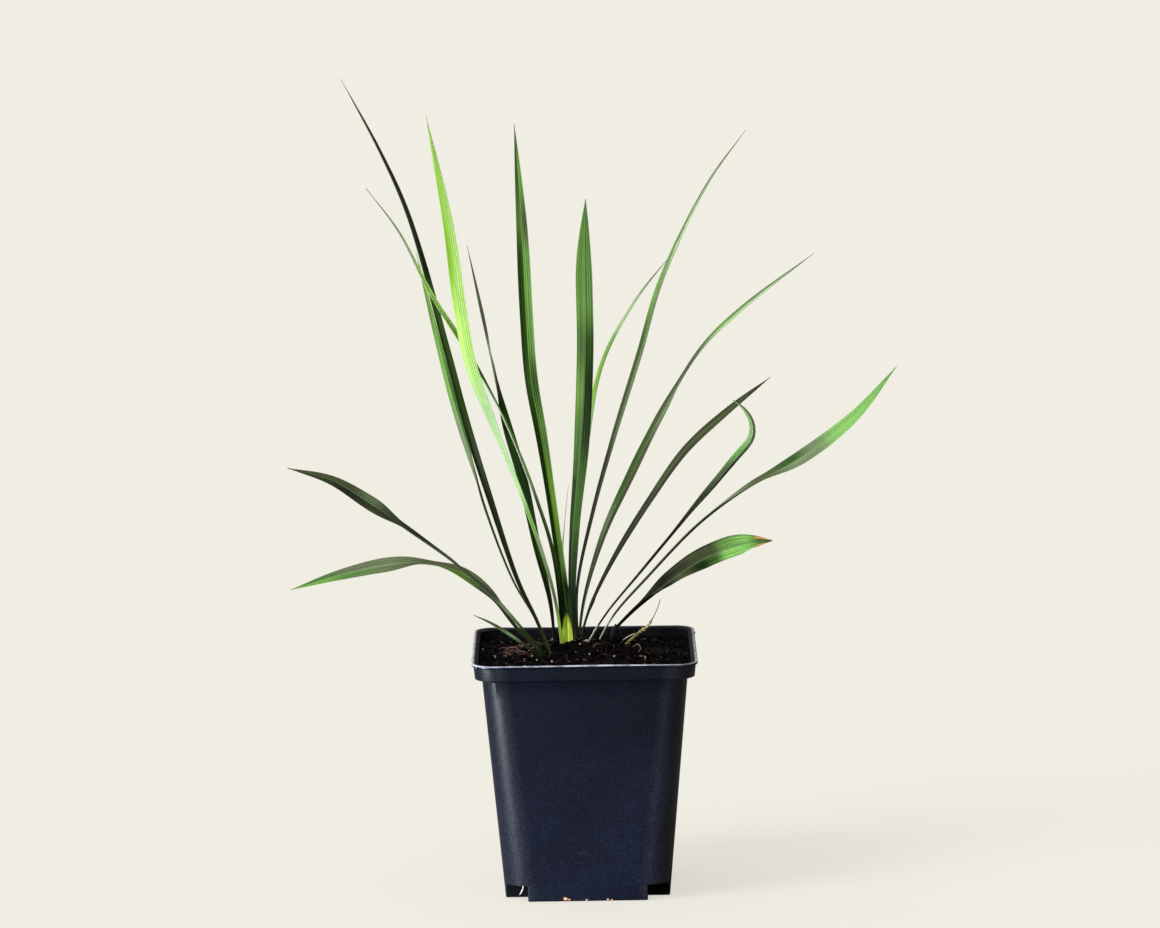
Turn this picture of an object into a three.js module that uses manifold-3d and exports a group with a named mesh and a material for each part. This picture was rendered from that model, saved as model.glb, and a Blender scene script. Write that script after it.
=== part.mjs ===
// A young lilyturf plant: an open clump of long narrow leaves in a square nursery pot of dark peat.
// Units are millimetres. The origin is the middle of the pot's underside, +Z is up, +X is to the
// right and +Y points away from the side on which the plant shows best.

import * as THREE from 'three';
import { mergeVertices } from 'three/addons/utils/BufferGeometryUtils.js';
import Module from 'manifold-3d';

const wasm = await Module();
wasm.setup();

// Pot
const POT_HEIGHT = 98;
const LIP_WIDTH = 90;
const LIP_HEIGHT = 1.2;
const BAND_TOP_WIDTH = 88.6;
const BAND_FOOT_WIDTH = 87.6;
const BAND_HEIGHT = 6.5; // measured down from the lip's top
const BODY_TOP_WIDTH = 82;
const BASE_WIDTH = 66;
const WALL = 1.3;
const SHOULDER_RISE = 0.6; // the underside of the band slopes up by this much
const BASE_CORNER = 10;
const RIM_CORNER = 8;
const CORNER_STEPS = 5;
const NOTCH_INSET = 24; // from the pot's middle to the two walls of each foot notch
const NOTCH_HEIGHT = 6.5;
const DRAIN_DIAMETER = 5;
const DRAIN_OFFSET = 27.6; // of each drain hole from the pot's middle, along X and along Y

// Soil
const GAP = 0.3; // kept between pieces that touch
const SOIL_LEVEL = 95.4;
const SOIL_SIDE_STEPS = 8;
const SOIL_TOP_RINGS = 13;
const MOUND = { x: 0, y: 3, rise: 4.6, spread: 13.5 };
const LUMPS = [
  { height: 0.45, x: 0.31, y: 0.23, phase: 0.6 },
  { height: 0.35, x: -0.42, y: 0.55, phase: 2.1 },
  { height: 0.25, x: 0.83, y: -0.61, phase: 4.0 },
];

// Leaves
const BLADE_THICKNESS = 0.7;
const ROOT_DEPTH = 5; // how far a leaf base stands in the soil
const ROOT_LEAN = 0.7; // share of the leaf's first lean that its buried base keeps
const TIP_WIDTH = 0.7;
const WIDEST_FROM = 0.45; // share of its length at which a leaf reaches its full width
const TAPER_POWER = 1.7;
const FOLD = 0.22; // depth of the channel as a share of the leaf's half width
const STATION_STEP = 8;
const SOCKET_REACH = 14; // length of the hole's cutter, from the buried end of the leaf

const LEAF_GREEN = '#4c7a34';
const LIT_GREEN = '#5f9a50';
const LIME_GREEN = '#8fc63f';
const DARK_GREEN = '#2a4a22';
const OLIVE_GREEN = '#4a5040';
const SHEATH_GREEN = '#b9d23c';
const DRY_STRAW = '#b5a457';

// Each leaf has its route from the soil's surface to its tip, a full width, a width at its base, and
// the share of its length that tapers to the tip. The turns say how the blade is rolled about its
// route: pairs of a share of the length and degrees, where 0 shows its upper face to -Y, 180 its
// lower face, and 90 either way shows it edge on. A few have a deeper fold, a finer step between
// sections, or a place of their own at which they are widest.
const LEAVES = [
  {
    name: 'leaf_left_tall',
    color: DARK_GREEN,
    width: 5.6,
    base: 2.4,
    taper: 0.34,
    turns: [[0, -66], [0.4, -60], [0.6, -66], [0.75, -74], [1, -78]],
    route: [[-14, -10, 97], [-19, -10, 110], [-26.5, -9, 126.5], [-37, -7, 159], [-46.5, -4, 191],
      [-53.5, -1, 219], [-68, 6, 272.5], [-79, 9, 298.5], [-94, 14, 327]],
  },
  {
    name: 'leaf_left_lit',
    color: LIT_GREEN,
    width: 4.2,
    base: 1.8,
    taper: 0.4,
    turns: [[0, -88], [0.4, -88], [0.58, -45], [1, -35]],
    route: [[-14, -5.5, 97], [-20, -4, 110.5], [-28.5, -1, 125.5], [-39, 6, 153], [-46, 15, 177.5],
      [-52, 23, 197.5], [-59, 35, 224.5], [-66, 48, 252.5]],
  },
  {
    name: 'leaf_left_thin',
    color: LIME_GREEN,
    width: 2.4,
    base: 2.2,
    taper: 0.45,
    turns: [[0, -35], [0.35, -62], [0.52, -80], [0.7, -25], [1, -30]],
    route: [[-9, 3, 97], [-9.5, 1, 116], [-12.5, -1, 138], [-18, -2, 157], [-25.5, -4, 178.5],
      [-33.5, -6, 197.5], [-46.5, -8, 222], [-59, -10, 243], [-71.5, -12, 268.5], [-84, -14, 286]],
  },
  {
    name: 'leaf_lime',
    color: LIME_GREEN,
    width: 5.4,
    base: 1.9,
    taper: 0.32,
    turns: [[0, -122], [0.35, -112], [0.6, -158], [1, -165]],
    route: [[-9, -4, 97], [-11.5, -6, 117.5], [-16.5, -9, 137.5], [-24.5, -13, 162], [-35, -20, 191],
      [-43.5, -27, 216.5], [-47.5, -34, 242], [-51, -43, 274], [-58.5, -58, 318]],
  },
  {
    name: 'leaf_left_inner',
    color: DARK_GREEN,
    width: 4.4,
    base: 1.8,
    taper: 0.38,
    turns: [[0, -66], [0.3, -30], [0.52, -25], [0.7, -86], [0.85, -120], [1, -120]],
    route: [[-12, 1, 97], [-13.5, 3, 115], [-18.5, 5, 137.5], [-24, 10, 164.5], [-31, 15, 190],
      [-36, 20, 214], [-45, 30, 257.5]],
  },
  {
    name: 'leaf_centre_tall',
    color: LEAF_GREEN,
    width: 5.4,
    base: 3.4,
    taper: 0.3,
    turns: [[0, -14], [0.3, -42], [0.6, -12], [1, -8]],
    route: [[-5.6, 7.5, 97], [-7.4, 9, 115], [-10.2, 11, 137.5], [-16, 20, 179], [-20, 26, 203.5],
      [-21.5, 33, 226.5], [-23, 46, 264], [-25.5, 62, 303.5]],
  },
  {
    name: 'leaf_centre_broad',
    color: LEAF_GREEN,
    width: 6.6,
    base: 2.8,
    taper: 0.2,
    turns: [[0, 215], [0.3, 222], [0.6, 186], [1, 180]],
    route: [[-4.2, 3.5, 97], [-4.8, 2, 116.5], [-3.5, -5, 146], [0, -18, 183.5], [2, -35, 222.5],
      [2, -56, 261], [3, -72, 286.5]],
  },
  {
    name: 'leaf_right_lime',
    color: LIME_GREEN,
    width: 3.4,
    base: 1.7,
    taper: 0.45,
    turns: [[0, 65], [0.45, 35], [0.65, 62], [1, 62]],
    route: [[-5.5, 14, 97], [-4, 16, 118], [-1.2, 24, 153.5], [2.4, 33, 179], [9.5, 44, 208],
      [23, 56, 231], [37.5, 66, 248]],
  },
  {
    name: 'leaf_right_tall',
    color: LEAF_GREEN,
    width: 4,
    base: 1.8,
    taper: 0.42,
    turns: [[0, 116], [0.3, 114], [0.55, 122], [1, 112]],
    route: [[-2.5, 9.5, 97], [-2.4, 7.5, 120.5], [4, 4, 150.5], [13, -1, 182.5], [24, -6, 217.5],
      [32.5, -12, 246.5], [51.5, -20, 286.5], [66.5, -26, 308]],
  },
  {
    name: 'leaf_right_long',
    color: LEAF_GREEN,
    width: 4.3,
    base: 1.8,
    taper: 0.3,
    turns: [[0, 66], [0.4, 38], [0.52, 50], [0.64, 90], [0.8, 112], [1, 110]],
    route: [[-2.2, 13, 97], [0.2, 14, 114], [8.6, 16, 141], [18.3, 18, 161.5], [33, 22, 189.5],
      [48.5, 26, 214], [66, 29, 230.5], [95.5, 34, 252]],
  },
  {
    name: 'leaf_right_dark',
    color: OLIVE_GREEN,
    width: 4,
    base: 1.8,
    taper: 0.28,
    turns: [[0, 70], [0.4, 60], [0.7, 45], [1, 35]],
    route: [[-1.6, 17.5, 97], [3, 20, 111], [12.8, 26, 129.5], [28, 38, 151.5], [42.5, 50, 169.5],
      [60, 63, 183.5], [78.5, 78, 195.5]],
  },
  {
    name: 'leaf_right_hooked',
    color: LIT_GREEN,
    width: 4.4,
    base: 1.8,
    taper: 0.25,
    step: 4,
    turns: [[0, 100], [0.45, 104], [0.7, 134], [0.86, 150], [1, 160]],
    route: [[0.2, -1, 97], [8.6, -3, 111], [24, -9, 130.5], [43.5, -17, 155], [60.5, -25, 176.5],
      [67.5, -28, 186], [67.5, -30, 192.5], [64.5, -32, 198], [60, -34, 202]],
  },
  {
    name: 'leaf_right_reaching',
    color: LIT_GREEN,
    width: 5.8,
    base: 1.6,
    taper: 0.27,
    turns: [[0, 84], [0.45, 95], [0.58, 78], [0.72, 20], [1, 14]],
    route: [[5, 5, 97], [11.6, 4, 109], [26, 2, 125.5], [47, -1, 147.5], [67.5, -4, 163], [88, -7, 174.5],
      [109, -10, 191], [126, -14, 211.5]],
  },
  {
    name: 'leaf_right_pleated',
    color: LEAF_GREEN,
    width: 9,
    base: 1.7,
    taper: 0.2,
    fold: 0.45,
    widest: 0.7,
    turns: [[0, 96], [0.3, 95], [0.5, 50], [0.7, 24], [1, 18]],
    route: [[7.4, 10, 97], [16.2, 12, 106.5], [26.5, 13.5, 115.5], [40.5, 16, 125.5], [53.5, 18, 132],
      [65, 19, 135.5], [77, 20, 136.5]],
  },
  {
    name: 'leaf_left_low_dark',
    color: OLIVE_GREEN,
    width: 6.2,
    base: 2.2,
    taper: 0.32,
    turns: [[0, -112], [0.3, -108], [0.45, -95], [0.6, -84], [0.75, -22], [1, -14]],
    route: [[-16, -13.5, 97], [-26, -16, 109.5], [-34.5, -19, 120], [-50.5, -26, 136.5], [-67.5, -33, 150.5],
      [-85.5, -42, 165], [-99, -49, 174.5], [-115.5, -56, 180.5]],
  },
  {
    name: 'leaf_left_low_green',
    color: LIT_GREEN,
    width: 6,
    base: 1.8,
    taper: 0.36,
    turns: [[0, -84], [0.22, -70], [0.34, -42], [0.5, -86], [0.68, -20], [1, -12]],
    route: [[-18, -8.5, 97], [-27.5, -6, 107], [-38, 0, 120], [-50.5, 5, 128.5], [-64, 11, 131],
      [-78.5, 17, 129.5], [-99, 26, 124], [-119.5, 36, 116.5]],
  },
  {
    name: 'leaf_left_short',
    color: DARK_GREEN,
    width: 2.4,
    base: 1.6,
    taper: 0.5,
    turns: [[0, -120], [1, -140]],
    route: [[-18, -18, 97], [-29.5, -22, 106.5], [-37, -25, 112], [-44, -28, 116]],
  },
  {
    name: 'leaf_spear',
    color: DARK_GREEN,
    width: 1.2,
    base: 1,
    taper: 0.6,
    turns: [[0, 0], [1, 0]],
    route: [[-8.5, 15, 97], [-8.5, 18, 130], [-7, 20, 148], [-5.5, 22, 160]],
  },
  {
    name: 'basal_sheath',
    color: SHEATH_GREEN,
    width: 3.4,
    base: 3,
    taper: 0.4,
    fold: 0.5,
    turns: [[0, -5], [1, -5]],
    route: [[-7, 0.2, 97], [-7, -0.3, 104], [-7, -0.5, 113]],
  },
  {
    name: 'dry_sprout',
    color: DRY_STRAW,
    width: 1,
    base: 0.9,
    taper: 0.4,
    step: 3,
    turns: [[0, 60], [1, 60]],
    route: [[17, 8, 97], [22, 10, 101], [26, 11, 104], [30, 13, 111], [31, 14, 114]],
  },
];

// Closed geometry through rings with equal point counts, each counterclockwise seen from the last.
// Both faces of a flat section are split alike, so a thin turned blade never cuts itself.
function loft(rings) {
  const count = rings[0].length;
  const positions = rings.flat().flatMap((point) => point.toArray());
  const index = [];
  for (let ring = 0; ring + 1 < rings.length; ring += 1) {
    for (let k = 0; k < count; k += 1) {
      const a = ring * count + k;
      const b = ring * count + ((k + 1) % count);
      const c = b + count;
      const d = a + count;
      if (k < count / 2) {
        index.push(a, b, c, a, c, d);
      } else {
        index.push(a, b, d, b, c, d);
      }
    }
  }
  const last = (rings.length - 1) * count;
  for (let k = 2; k < count + 1; k += 1) {
    const next = (k + 1) % count;
    if (next !== 1) {
      index.push(1, next, k % count);
      index.push(last + 1, last + (k % count), last + next);
    }
  }
  const geometry = new THREE.BufferGeometry();
  geometry.setAttribute('position', new THREE.Float32BufferAttribute(positions, 3));
  geometry.setIndex(index);
  geometry.computeVertexNormals();
  return geometry;
}

// A manifold solid of a closed geometry
function toSolid(geometry) {
  const bare = new THREE.BufferGeometry();
  bare.setAttribute('position', geometry.getAttribute('position'));
  bare.setIndex(geometry.getIndex());
  const merged = mergeVertices(bare, 1e-4);
  return new wasm.Manifold(new wasm.Mesh({
    numProp: 3,
    vertProperties: new Float32Array(merged.getAttribute('position').array),
    triVerts: new Uint32Array(merged.getIndex().array),
  }));
}

// The geometry of a manifold solid
function toGeometry(solid) {
  const mesh = solid.getMesh();
  const geometry = new THREE.BufferGeometry();
  geometry.setAttribute('position', new THREE.Float32BufferAttribute(mesh.vertProperties, 3));
  geometry.setIndex(new THREE.Uint32BufferAttribute(mesh.triVerts, 1));
  geometry.computeVertexNormals();
  return geometry;
}

// A level ring of points round a square with rounded corners
function roundedSquare(width, corner, z, sideSteps = 1) {
  const points = [];
  const reach = width / 2 - corner;
  for (let side = 0; side < 4; side += 1) {
    const turn = side * Math.PI / 2;
    for (let step = 0; step <= CORNER_STEPS; step += 1) {
      const angle = turn + step / CORNER_STEPS * Math.PI / 2;
      const x = reach * Math.cos(turn) - reach * Math.sin(turn) + corner * Math.cos(angle);
      const y = reach * Math.sin(turn) + reach * Math.cos(turn) + corner * Math.sin(angle);
      points.push(new THREE.Vector3(x, y, z));
    }
    const from = points[points.length - 1];
    const along = new THREE.Vector3(-Math.cos(turn), -Math.sin(turn), 0).multiplyScalar(2 * reach);
    for (let step = 1; step < sideSteps; step += 1) {
      points.push(from.clone().addScaledVector(along, step / sideSteps));
    }
  }
  return points;
}

// Four boxes that clear the pot's foot corners, grown by a margin towards the pot's middle and up
function cornerNotches(margin) {
  const low = NOTCH_INSET - margin;
  const size = BASE_WIDTH;
  const top = NOTCH_HEIGHT + margin;
  const depth = top + WALL;
  const boxes = [];
  for (const signX of [-1, 1]) {
    for (const signY of [-1, 1]) {
      const box = new THREE.BoxGeometry(size, size, depth);
      box.translate(signX * (low + size / 2), signY * (low + size / 2), top - depth / 2);
      boxes.push(toSolid(box));
    }
  }
  return boxes;
}

// The space inside the pot's walls, drawn in on all sides by a margin
function cavityRings(margin, topLevel, sideSteps) {
  const bandFoot = POT_HEIGHT - BAND_HEIGHT;
  const inset = 2 * (WALL + margin);
  const profile = [
    [WALL + margin, BASE_WIDTH - inset, BASE_CORNER - WALL],
    [bandFoot + margin, BODY_TOP_WIDTH - inset, RIM_CORNER - WALL],
    [bandFoot + WALL + margin, BAND_FOOT_WIDTH - inset, RIM_CORNER - WALL],
    [topLevel, BAND_FOOT_WIDTH - inset, RIM_CORNER - WALL],
  ];
  return profile.map(([z, width, corner]) => roundedSquare(width, corner, z, sideSteps));
}

// Pot: tapered body, slightly wider rim band with a thin lip, notched foot corners and drain holes
function potGeometry() {
  const bandFoot = POT_HEIGHT - BAND_HEIGHT;
  const lipFoot = POT_HEIGHT - LIP_HEIGHT;
  const profile = [
    [0, BASE_WIDTH, BASE_CORNER],
    [bandFoot - SHOULDER_RISE, BODY_TOP_WIDTH, RIM_CORNER],
    [bandFoot, BAND_FOOT_WIDTH, RIM_CORNER],
    [lipFoot, BAND_TOP_WIDTH, RIM_CORNER],
    [lipFoot + GAP, LIP_WIDTH, RIM_CORNER],
    [POT_HEIGHT - GAP, LIP_WIDTH, RIM_CORNER],
    [POT_HEIGHT, LIP_WIDTH - 2 * GAP, RIM_CORNER],
  ];
  let body = toSolid(loft(profile.map(([z, width, corner]) => roundedSquare(width, corner, z))));
  let cavity = toSolid(loft(cavityRings(0, POT_HEIGHT + 1, 1)));
  for (const notch of cornerNotches(0)) {
    body = body.subtract(notch);
  }
  for (const notch of cornerNotches(WALL)) {
    cavity = cavity.subtract(notch);
  }
  body = body.subtract(cavity);
  for (const signX of [-1, 1]) {
    for (const signY of [-1, 1]) {
      const drain = new THREE.CylinderGeometry(DRAIN_DIAMETER / 2, DRAIN_DIAMETER / 2, 4 * WALL, 16);
      drain.rotateX(Math.PI / 2);
      drain.translate(signX * DRAIN_OFFSET, signY * DRAIN_OFFSET, NOTCH_HEIGHT + WALL / 2);
      body = body.subtract(toSolid(drain));
    }
  }
  return toGeometry(body);
}

// Height of the soil's surface: level, mounded round the crown, with low lumps
function soilHeight(x, y) {
  const away = ((x - MOUND.x) ** 2 + (y - MOUND.y) ** 2) / (2 * MOUND.spread ** 2);
  const mound = MOUND.rise * Math.exp(-away);
  const lumps = LUMPS.reduce(
    (sum, lump) => sum + lump.height * Math.sin(lump.x * x + lump.y * y + lump.phase),
    0,
  );
  return SOIL_LEVEL + mound + lumps;
}

// Soil: fills the pot's cavity, with a plain hole for each leaf base
function soilGeometry() {
  const rings = cavityRings(GAP, SOIL_LEVEL, SOIL_SIDE_STEPS);
  const edge = rings.pop();
  for (let ring = 0; ring < SOIL_TOP_RINGS; ring += 1) {
    const share = 1 - ring / SOIL_TOP_RINGS;
    const inner = edge.map(({ x, y }) => new THREE.Vector3(x * share, y * share, 0));
    inner.forEach((point) => point.setZ(soilHeight(point.x, point.y)));
    rings.push(inner);
  }
  let soil = toSolid(loft(rings));
  for (const notch of cornerNotches(WALL + GAP)) {
    soil = soil.subtract(notch);
  }
  for (const leaf of LEAVES) {
    soil = soil.subtract(toSolid(loft(bladeRings(leaf, GAP, SOCKET_REACH))));
  }
  return toGeometry(soil);
}

// Smooth curve along a leaf, from its buried base to its tip
function leafCurve(leaf) {
  const [surface, next] = leaf.route;
  const lean = ROOT_LEAN * ROOT_DEPTH / (next[2] - surface[2]);
  const buried = [
    surface[0] - lean * (next[0] - surface[0]),
    surface[1] - lean * (next[1] - surface[1]),
    surface[2] - ROOT_DEPTH,
  ];
  const points = [buried, ...leaf.route].map((point) => new THREE.Vector3(...point));
  return new THREE.CatmullRomCurve3(points, false, 'centripetal');
}

// Full width of a leaf at a share of its length
function leafWidth(leaf, share) {
  const grown = THREE.MathUtils.smoothstep(share, 0, leaf.widest ?? WIDEST_FROM);
  const full = leaf.base + (leaf.width - leaf.base) * grown;
  const toTip = Math.min((1 - share) / leaf.taper, 1);
  return Math.max(TIP_WIDTH, full * (1 - (1 - toTip) ** TAPER_POWER));
}

// Roll of a leaf about its route, in radians, at a share of its length
function leafTurn(leaf, share) {
  let next = leaf.turns.findIndex(([at]) => at >= share);
  next = Math.max(next, 1);
  const [fromShare, fromTurn] = leaf.turns[next - 1];
  const [toShare, toTurn] = leaf.turns[next];
  const blend = THREE.MathUtils.smoothstep(share, fromShare, toShare);
  return THREE.MathUtils.degToRad(fromTurn + (toTurn - fromTurn) * blend);
}

// Sections along a leaf: a shallow channel of six points, grown by a margin on every side
function bladeRings(leaf, margin, reach) {
  const curve = leafCurve(leaf);
  const length = curve.getLength();
  const steps = Math.ceil(length / (leaf.step ?? STATION_STEP));
  const last = Math.min(steps, Math.ceil(reach * steps / length));
  const rings = [];
  for (let step = 0; step <= last; step += 1) {
    const share = step / steps;
    const along = curve.getTangentAt(share);
    const level = new THREE.Vector3(0, 1, 0).cross(along).normalize();
    const facing = level.clone().cross(along);
    const turn = leafTurn(leaf, share);
    const side = level.clone().multiplyScalar(Math.cos(turn)).addScaledVector(facing, Math.sin(turn));
    const up = side.clone().cross(along);
    const half = leafWidth(leaf, share) / 2;
    const edge = (leaf.fold ?? FOLD) * half / 2;
    const thick = BLADE_THICKNESS / 2 + margin;
    const centre = curve.getPointAt(share);
    if (step === 0) {
      centre.addScaledVector(along, -margin);
    }
    const section = [
      [-half - margin, edge + thick],
      [0, thick - edge],
      [half + margin, edge + thick],
      [half + margin, edge - thick],
      [0, -edge - thick],
      [-half - margin, edge - thick],
    ];
    rings.push(section.map(
      ([across, above]) => centre.clone().addScaledVector(side, across).addScaledVector(up, above),
    ));
  }
  return rings;
}

// One named mesh with a plain finish
function part(name, geometry, color, roughness) {
  const material = new THREE.MeshStandardMaterial({ color, roughness, metalness: 0 });
  const mesh = new THREE.Mesh(geometry, material);
  mesh.name = name;
  return mesh;
}

const plant = new THREE.Group();
plant.add(part('pot', potGeometry(), '#1f2433', 0.5));
plant.add(part('soil', soilGeometry(), '#241a14', 0.95));
for (const leaf of LEAVES) {
  plant.add(part(leaf.name, loft(bladeRings(leaf, 0, Infinity)), leaf.color, 0.45));
}

export default plant;
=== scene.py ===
"""Looks of a young lilyturf in its square nursery pot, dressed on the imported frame.

Tables are in millimetres and meshes in metres, both in the frame of the part: the origin is the
middle of the pot's underside, +Z is up and +Y points away from the side that the camera sees.
"""

import logging
import math
import random
from dataclasses import dataclass, field
from enum import Enum

import bmesh
import bpy
import numpy as np
from mathutils import Matrix, Quaternion, Vector, noise
from mathutils.geometry import delaunay_2d_cdt

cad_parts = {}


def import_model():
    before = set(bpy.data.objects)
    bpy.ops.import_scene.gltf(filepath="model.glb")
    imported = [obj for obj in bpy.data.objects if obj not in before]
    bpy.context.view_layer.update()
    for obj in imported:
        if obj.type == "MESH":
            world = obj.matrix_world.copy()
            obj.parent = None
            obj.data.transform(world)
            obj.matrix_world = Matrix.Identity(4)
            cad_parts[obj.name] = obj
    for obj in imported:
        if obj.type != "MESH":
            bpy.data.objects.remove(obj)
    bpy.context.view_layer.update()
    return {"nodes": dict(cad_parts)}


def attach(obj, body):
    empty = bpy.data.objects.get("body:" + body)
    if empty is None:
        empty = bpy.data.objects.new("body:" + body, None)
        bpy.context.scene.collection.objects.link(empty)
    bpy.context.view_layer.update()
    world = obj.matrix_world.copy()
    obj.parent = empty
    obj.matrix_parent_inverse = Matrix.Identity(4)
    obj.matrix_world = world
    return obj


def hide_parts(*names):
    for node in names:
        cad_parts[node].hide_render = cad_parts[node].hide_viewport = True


MM = 0.001
BODY = "root"
LOG = logging.getLogger("lilyturf")

# Names of kinds of values

Rgb = tuple[float, float, float]
Uv = tuple[float, float]
Point = tuple[float, float, float]
Material = bpy.types.Material
Node = bpy.types.Node
Socket = bpy.types.NodeSocket
Feed = Socket | float | Rgb


def linear(red: int, green: int, blue: int) -> Rgb:
    """Linear colour of an sRGB colour whose parts run from 0 to 255."""
    parts = [value / 255 for value in (red, green, blue)]
    return tuple(v / 12.92 if v <= 0.04045 else ((v + 0.055) / 1.055) ** 2.4 for v in parts)


def smoothstep(value: float, low: float, high: float) -> float:
    """Smooth blend from 0 at low to 1 at high."""
    share = min(max((value - low) / (high - low), 0.0), 1.0)
    return share * share * (3 - 2 * share)


class Pigment(Enum):
    """Colours that the leaves and the crown are painted with, as linear colours: their own greens, and
    darker and paler tones that stand for shade and light on them.
    """

    NEAR_BLACK = linear(22, 26, 13)
    CHARCOAL = linear(46, 49, 34)
    OLIVE = linear(68, 75, 46)
    GREY_GREEN = linear(100, 116, 80)
    BLACK_GREEN = linear(20, 40, 8)
    DEEP = linear(40, 68, 16)
    DARK = linear(56, 84, 34)
    MID = linear(82, 114, 44)
    FRESH = linear(98, 138, 64)
    BRIGHT = linear(120, 168, 84)
    APPLE = linear(124, 168, 40)
    LIME = linear(142, 190, 62)
    PALE_LIME = linear(180, 216, 112)
    PALE = linear(160, 190, 132)
    WHITISH = linear(206, 214, 190)
    YELLOW_GREEN = linear(190, 214, 52)
    LEMON = linear(228, 248, 96)
    WITHERED = linear(214, 150, 84)
    BROWN = linear(92, 64, 34)


class Slot(Enum):
    """Material slots of the record."""

    POT = "pot_plastic"
    PEAT = "peat"
    GREEN = "leaf_green"
    LIT = "leaf_lit"
    LIME = "leaf_lime"
    DARK = "leaf_dark"
    OLIVE = "leaf_olive"
    SHEATH = "sheath"
    STRAW = "dry_straw"


# Meshes

CHART = "blade"
WELD = 1e-6
ALL_SMOOTH = 180.0


@dataclass
class MeshDraft:
    """A mesh that is being made, in millimetres.

    Attributes:
        points: its points.
        faces: indices of the points of each face.
        corners: coordinates of the corners of the faces, one after another.
        slots: index of each face's material.
    """

    points: list[Vector] = field(default_factory=list)
    faces: list[tuple[int, ...]] = field(default_factory=list)
    corners: list[Uv] = field(default_factory=list)
    slots: list[int] = field(default_factory=list)

    def add_points(self, points: list[Vector]) -> int:
        """Adds points.

        Args:
            points: the points.

        Returns:
            The index of the first.
        """
        first = len(self.points)
        self.points.extend(points)
        return first

    def add_face(self, face: tuple[int, ...], corners: list[Uv] | None = None, slot: int = 0) -> None:
        """Adds one face.

        Args:
            face: indices of its points.
            corners: coordinates of its corners, or None where no finish reads them.
            slot: index of its material.
        """
        self.faces.append(face)
        self.corners.extend(corners or [(0.0, 0.0)] * len(face))
        self.slots.append(slot)

    def slot_from(self, first: int, slot: int) -> None:
        """Gives another material to all faces from an index on."""
        self.slots[first:] = [slot] * (len(self.slots) - first)

    def add_rings(self, rings: list[list[Vector]], cap_start: bool = False,
                  cap_end: bool = False) -> None:
        """Joins closed rings of equal counts into a wall.

        Args:
            rings: point rings from one end to the other, counterclockwise seen from the last.
            cap_start: closes the first ring with a face.
            cap_end: closes the last ring with a face.
        """
        count = len(rings[0])
        first = self.add_points([point for ring in rings for point in ring])
        for row in range(len(rings) - 1):
            for k in range(count):
                a = first + row * count + k
                b = first + row * count + (k + 1) % count
                self.add_face((a, b, b + count, a + count))
        if cap_start:
            self.add_face(tuple(first + k for k in reversed(range(count))))
        if cap_end:
            last = first + (len(rings) - 1) * count
            self.add_face(tuple(last + k for k in range(count)))

    def add_flat(self, loops: list[list[Vector]], inside: list[int], facing_up: bool) -> None:
        """Fills a level region between closed loops.

        Args:
            loops: the outer loop and then the loops of the holes, all at one height.
            inside: how many loops a kept face lies in.
            facing_up: whether the faces look up or down.
        """
        flat, edges = [], []
        for loop in loops:
            start = len(flat)
            flat.extend(point.xy for point in loop)
            edges.append([start + k for k in range(len(loop))])
        places, _, faces, _, _, face_sources = delaunay_2d_cdt(flat, [], edges, 0, WELD)
        level = loops[0][0].z
        first = self.add_points([Vector((place.x, place.y, level)) for place in places])
        for face, sources in zip(faces, face_sources):
            if len(set(sources)) in inside:
                order = face if facing_up else face[::-1]
                self.add_face(tuple(first + k for k in order))

    def build(self, name: str, materials: list[Material],
              smooth: float = ALL_SMOOTH) -> bpy.types.Object:
        """Makes the object.

        Args:
            name: name of the piece.
            materials: materials in the order of the faces' indices.
            smooth: largest angle in degrees that is still shaded smooth.

        Returns:
            The new object, in metres.
        """
        mesh = bpy.data.meshes.new(name)
        mesh.from_pydata([point * MM for point in self.points], [], self.faces)
        layer = mesh.uv_layers.new(name=CHART)
        layer.data.foreach_set("uv", np.array(self.corners, np.float32).ravel())
        mesh.polygons.foreach_set("material_index", self.slots)
        mesh.polygons.foreach_set("use_smooth", [True] * len(self.faces))
        for material in materials:
            mesh.materials.append(material)
        mesh.validate()
        if smooth < ALL_SMOOTH:
            mesh.set_sharp_from_angle(angle=math.radians(smooth))
        mesh.update()
        piece = bpy.data.objects.new(name, mesh)
        bpy.context.scene.collection.objects.link(piece)
        return piece


def seat(piece: bpy.types.Object, slot: Slot, *nodes: str) -> None:
    """Rides a piece on the body, hides the CAD nodes that it stands for, and logs it with its slot.

    Args:
        piece: the piece.
        slot: its slot of the record.
        nodes: names of the CAD nodes that it replaces, if there are any.
    """
    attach(piece, BODY)
    if nodes:
        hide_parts(*nodes)
    LOG.info("%s: %d faces, slot %s", piece.name, len(piece.data.polygons), slot.value)


# Node trees

# Places of the factor and the two colours among a Mix node's inputs, and of the colour among its outputs
MIX_INPUTS = (0, 6, 7)
MIX_RESULT = 2
SPOT_FINENESS = 3.7
SPOT_BAND = (0.66, 0.74)
PIT_BAND = (0.25, 0.6)


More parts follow.
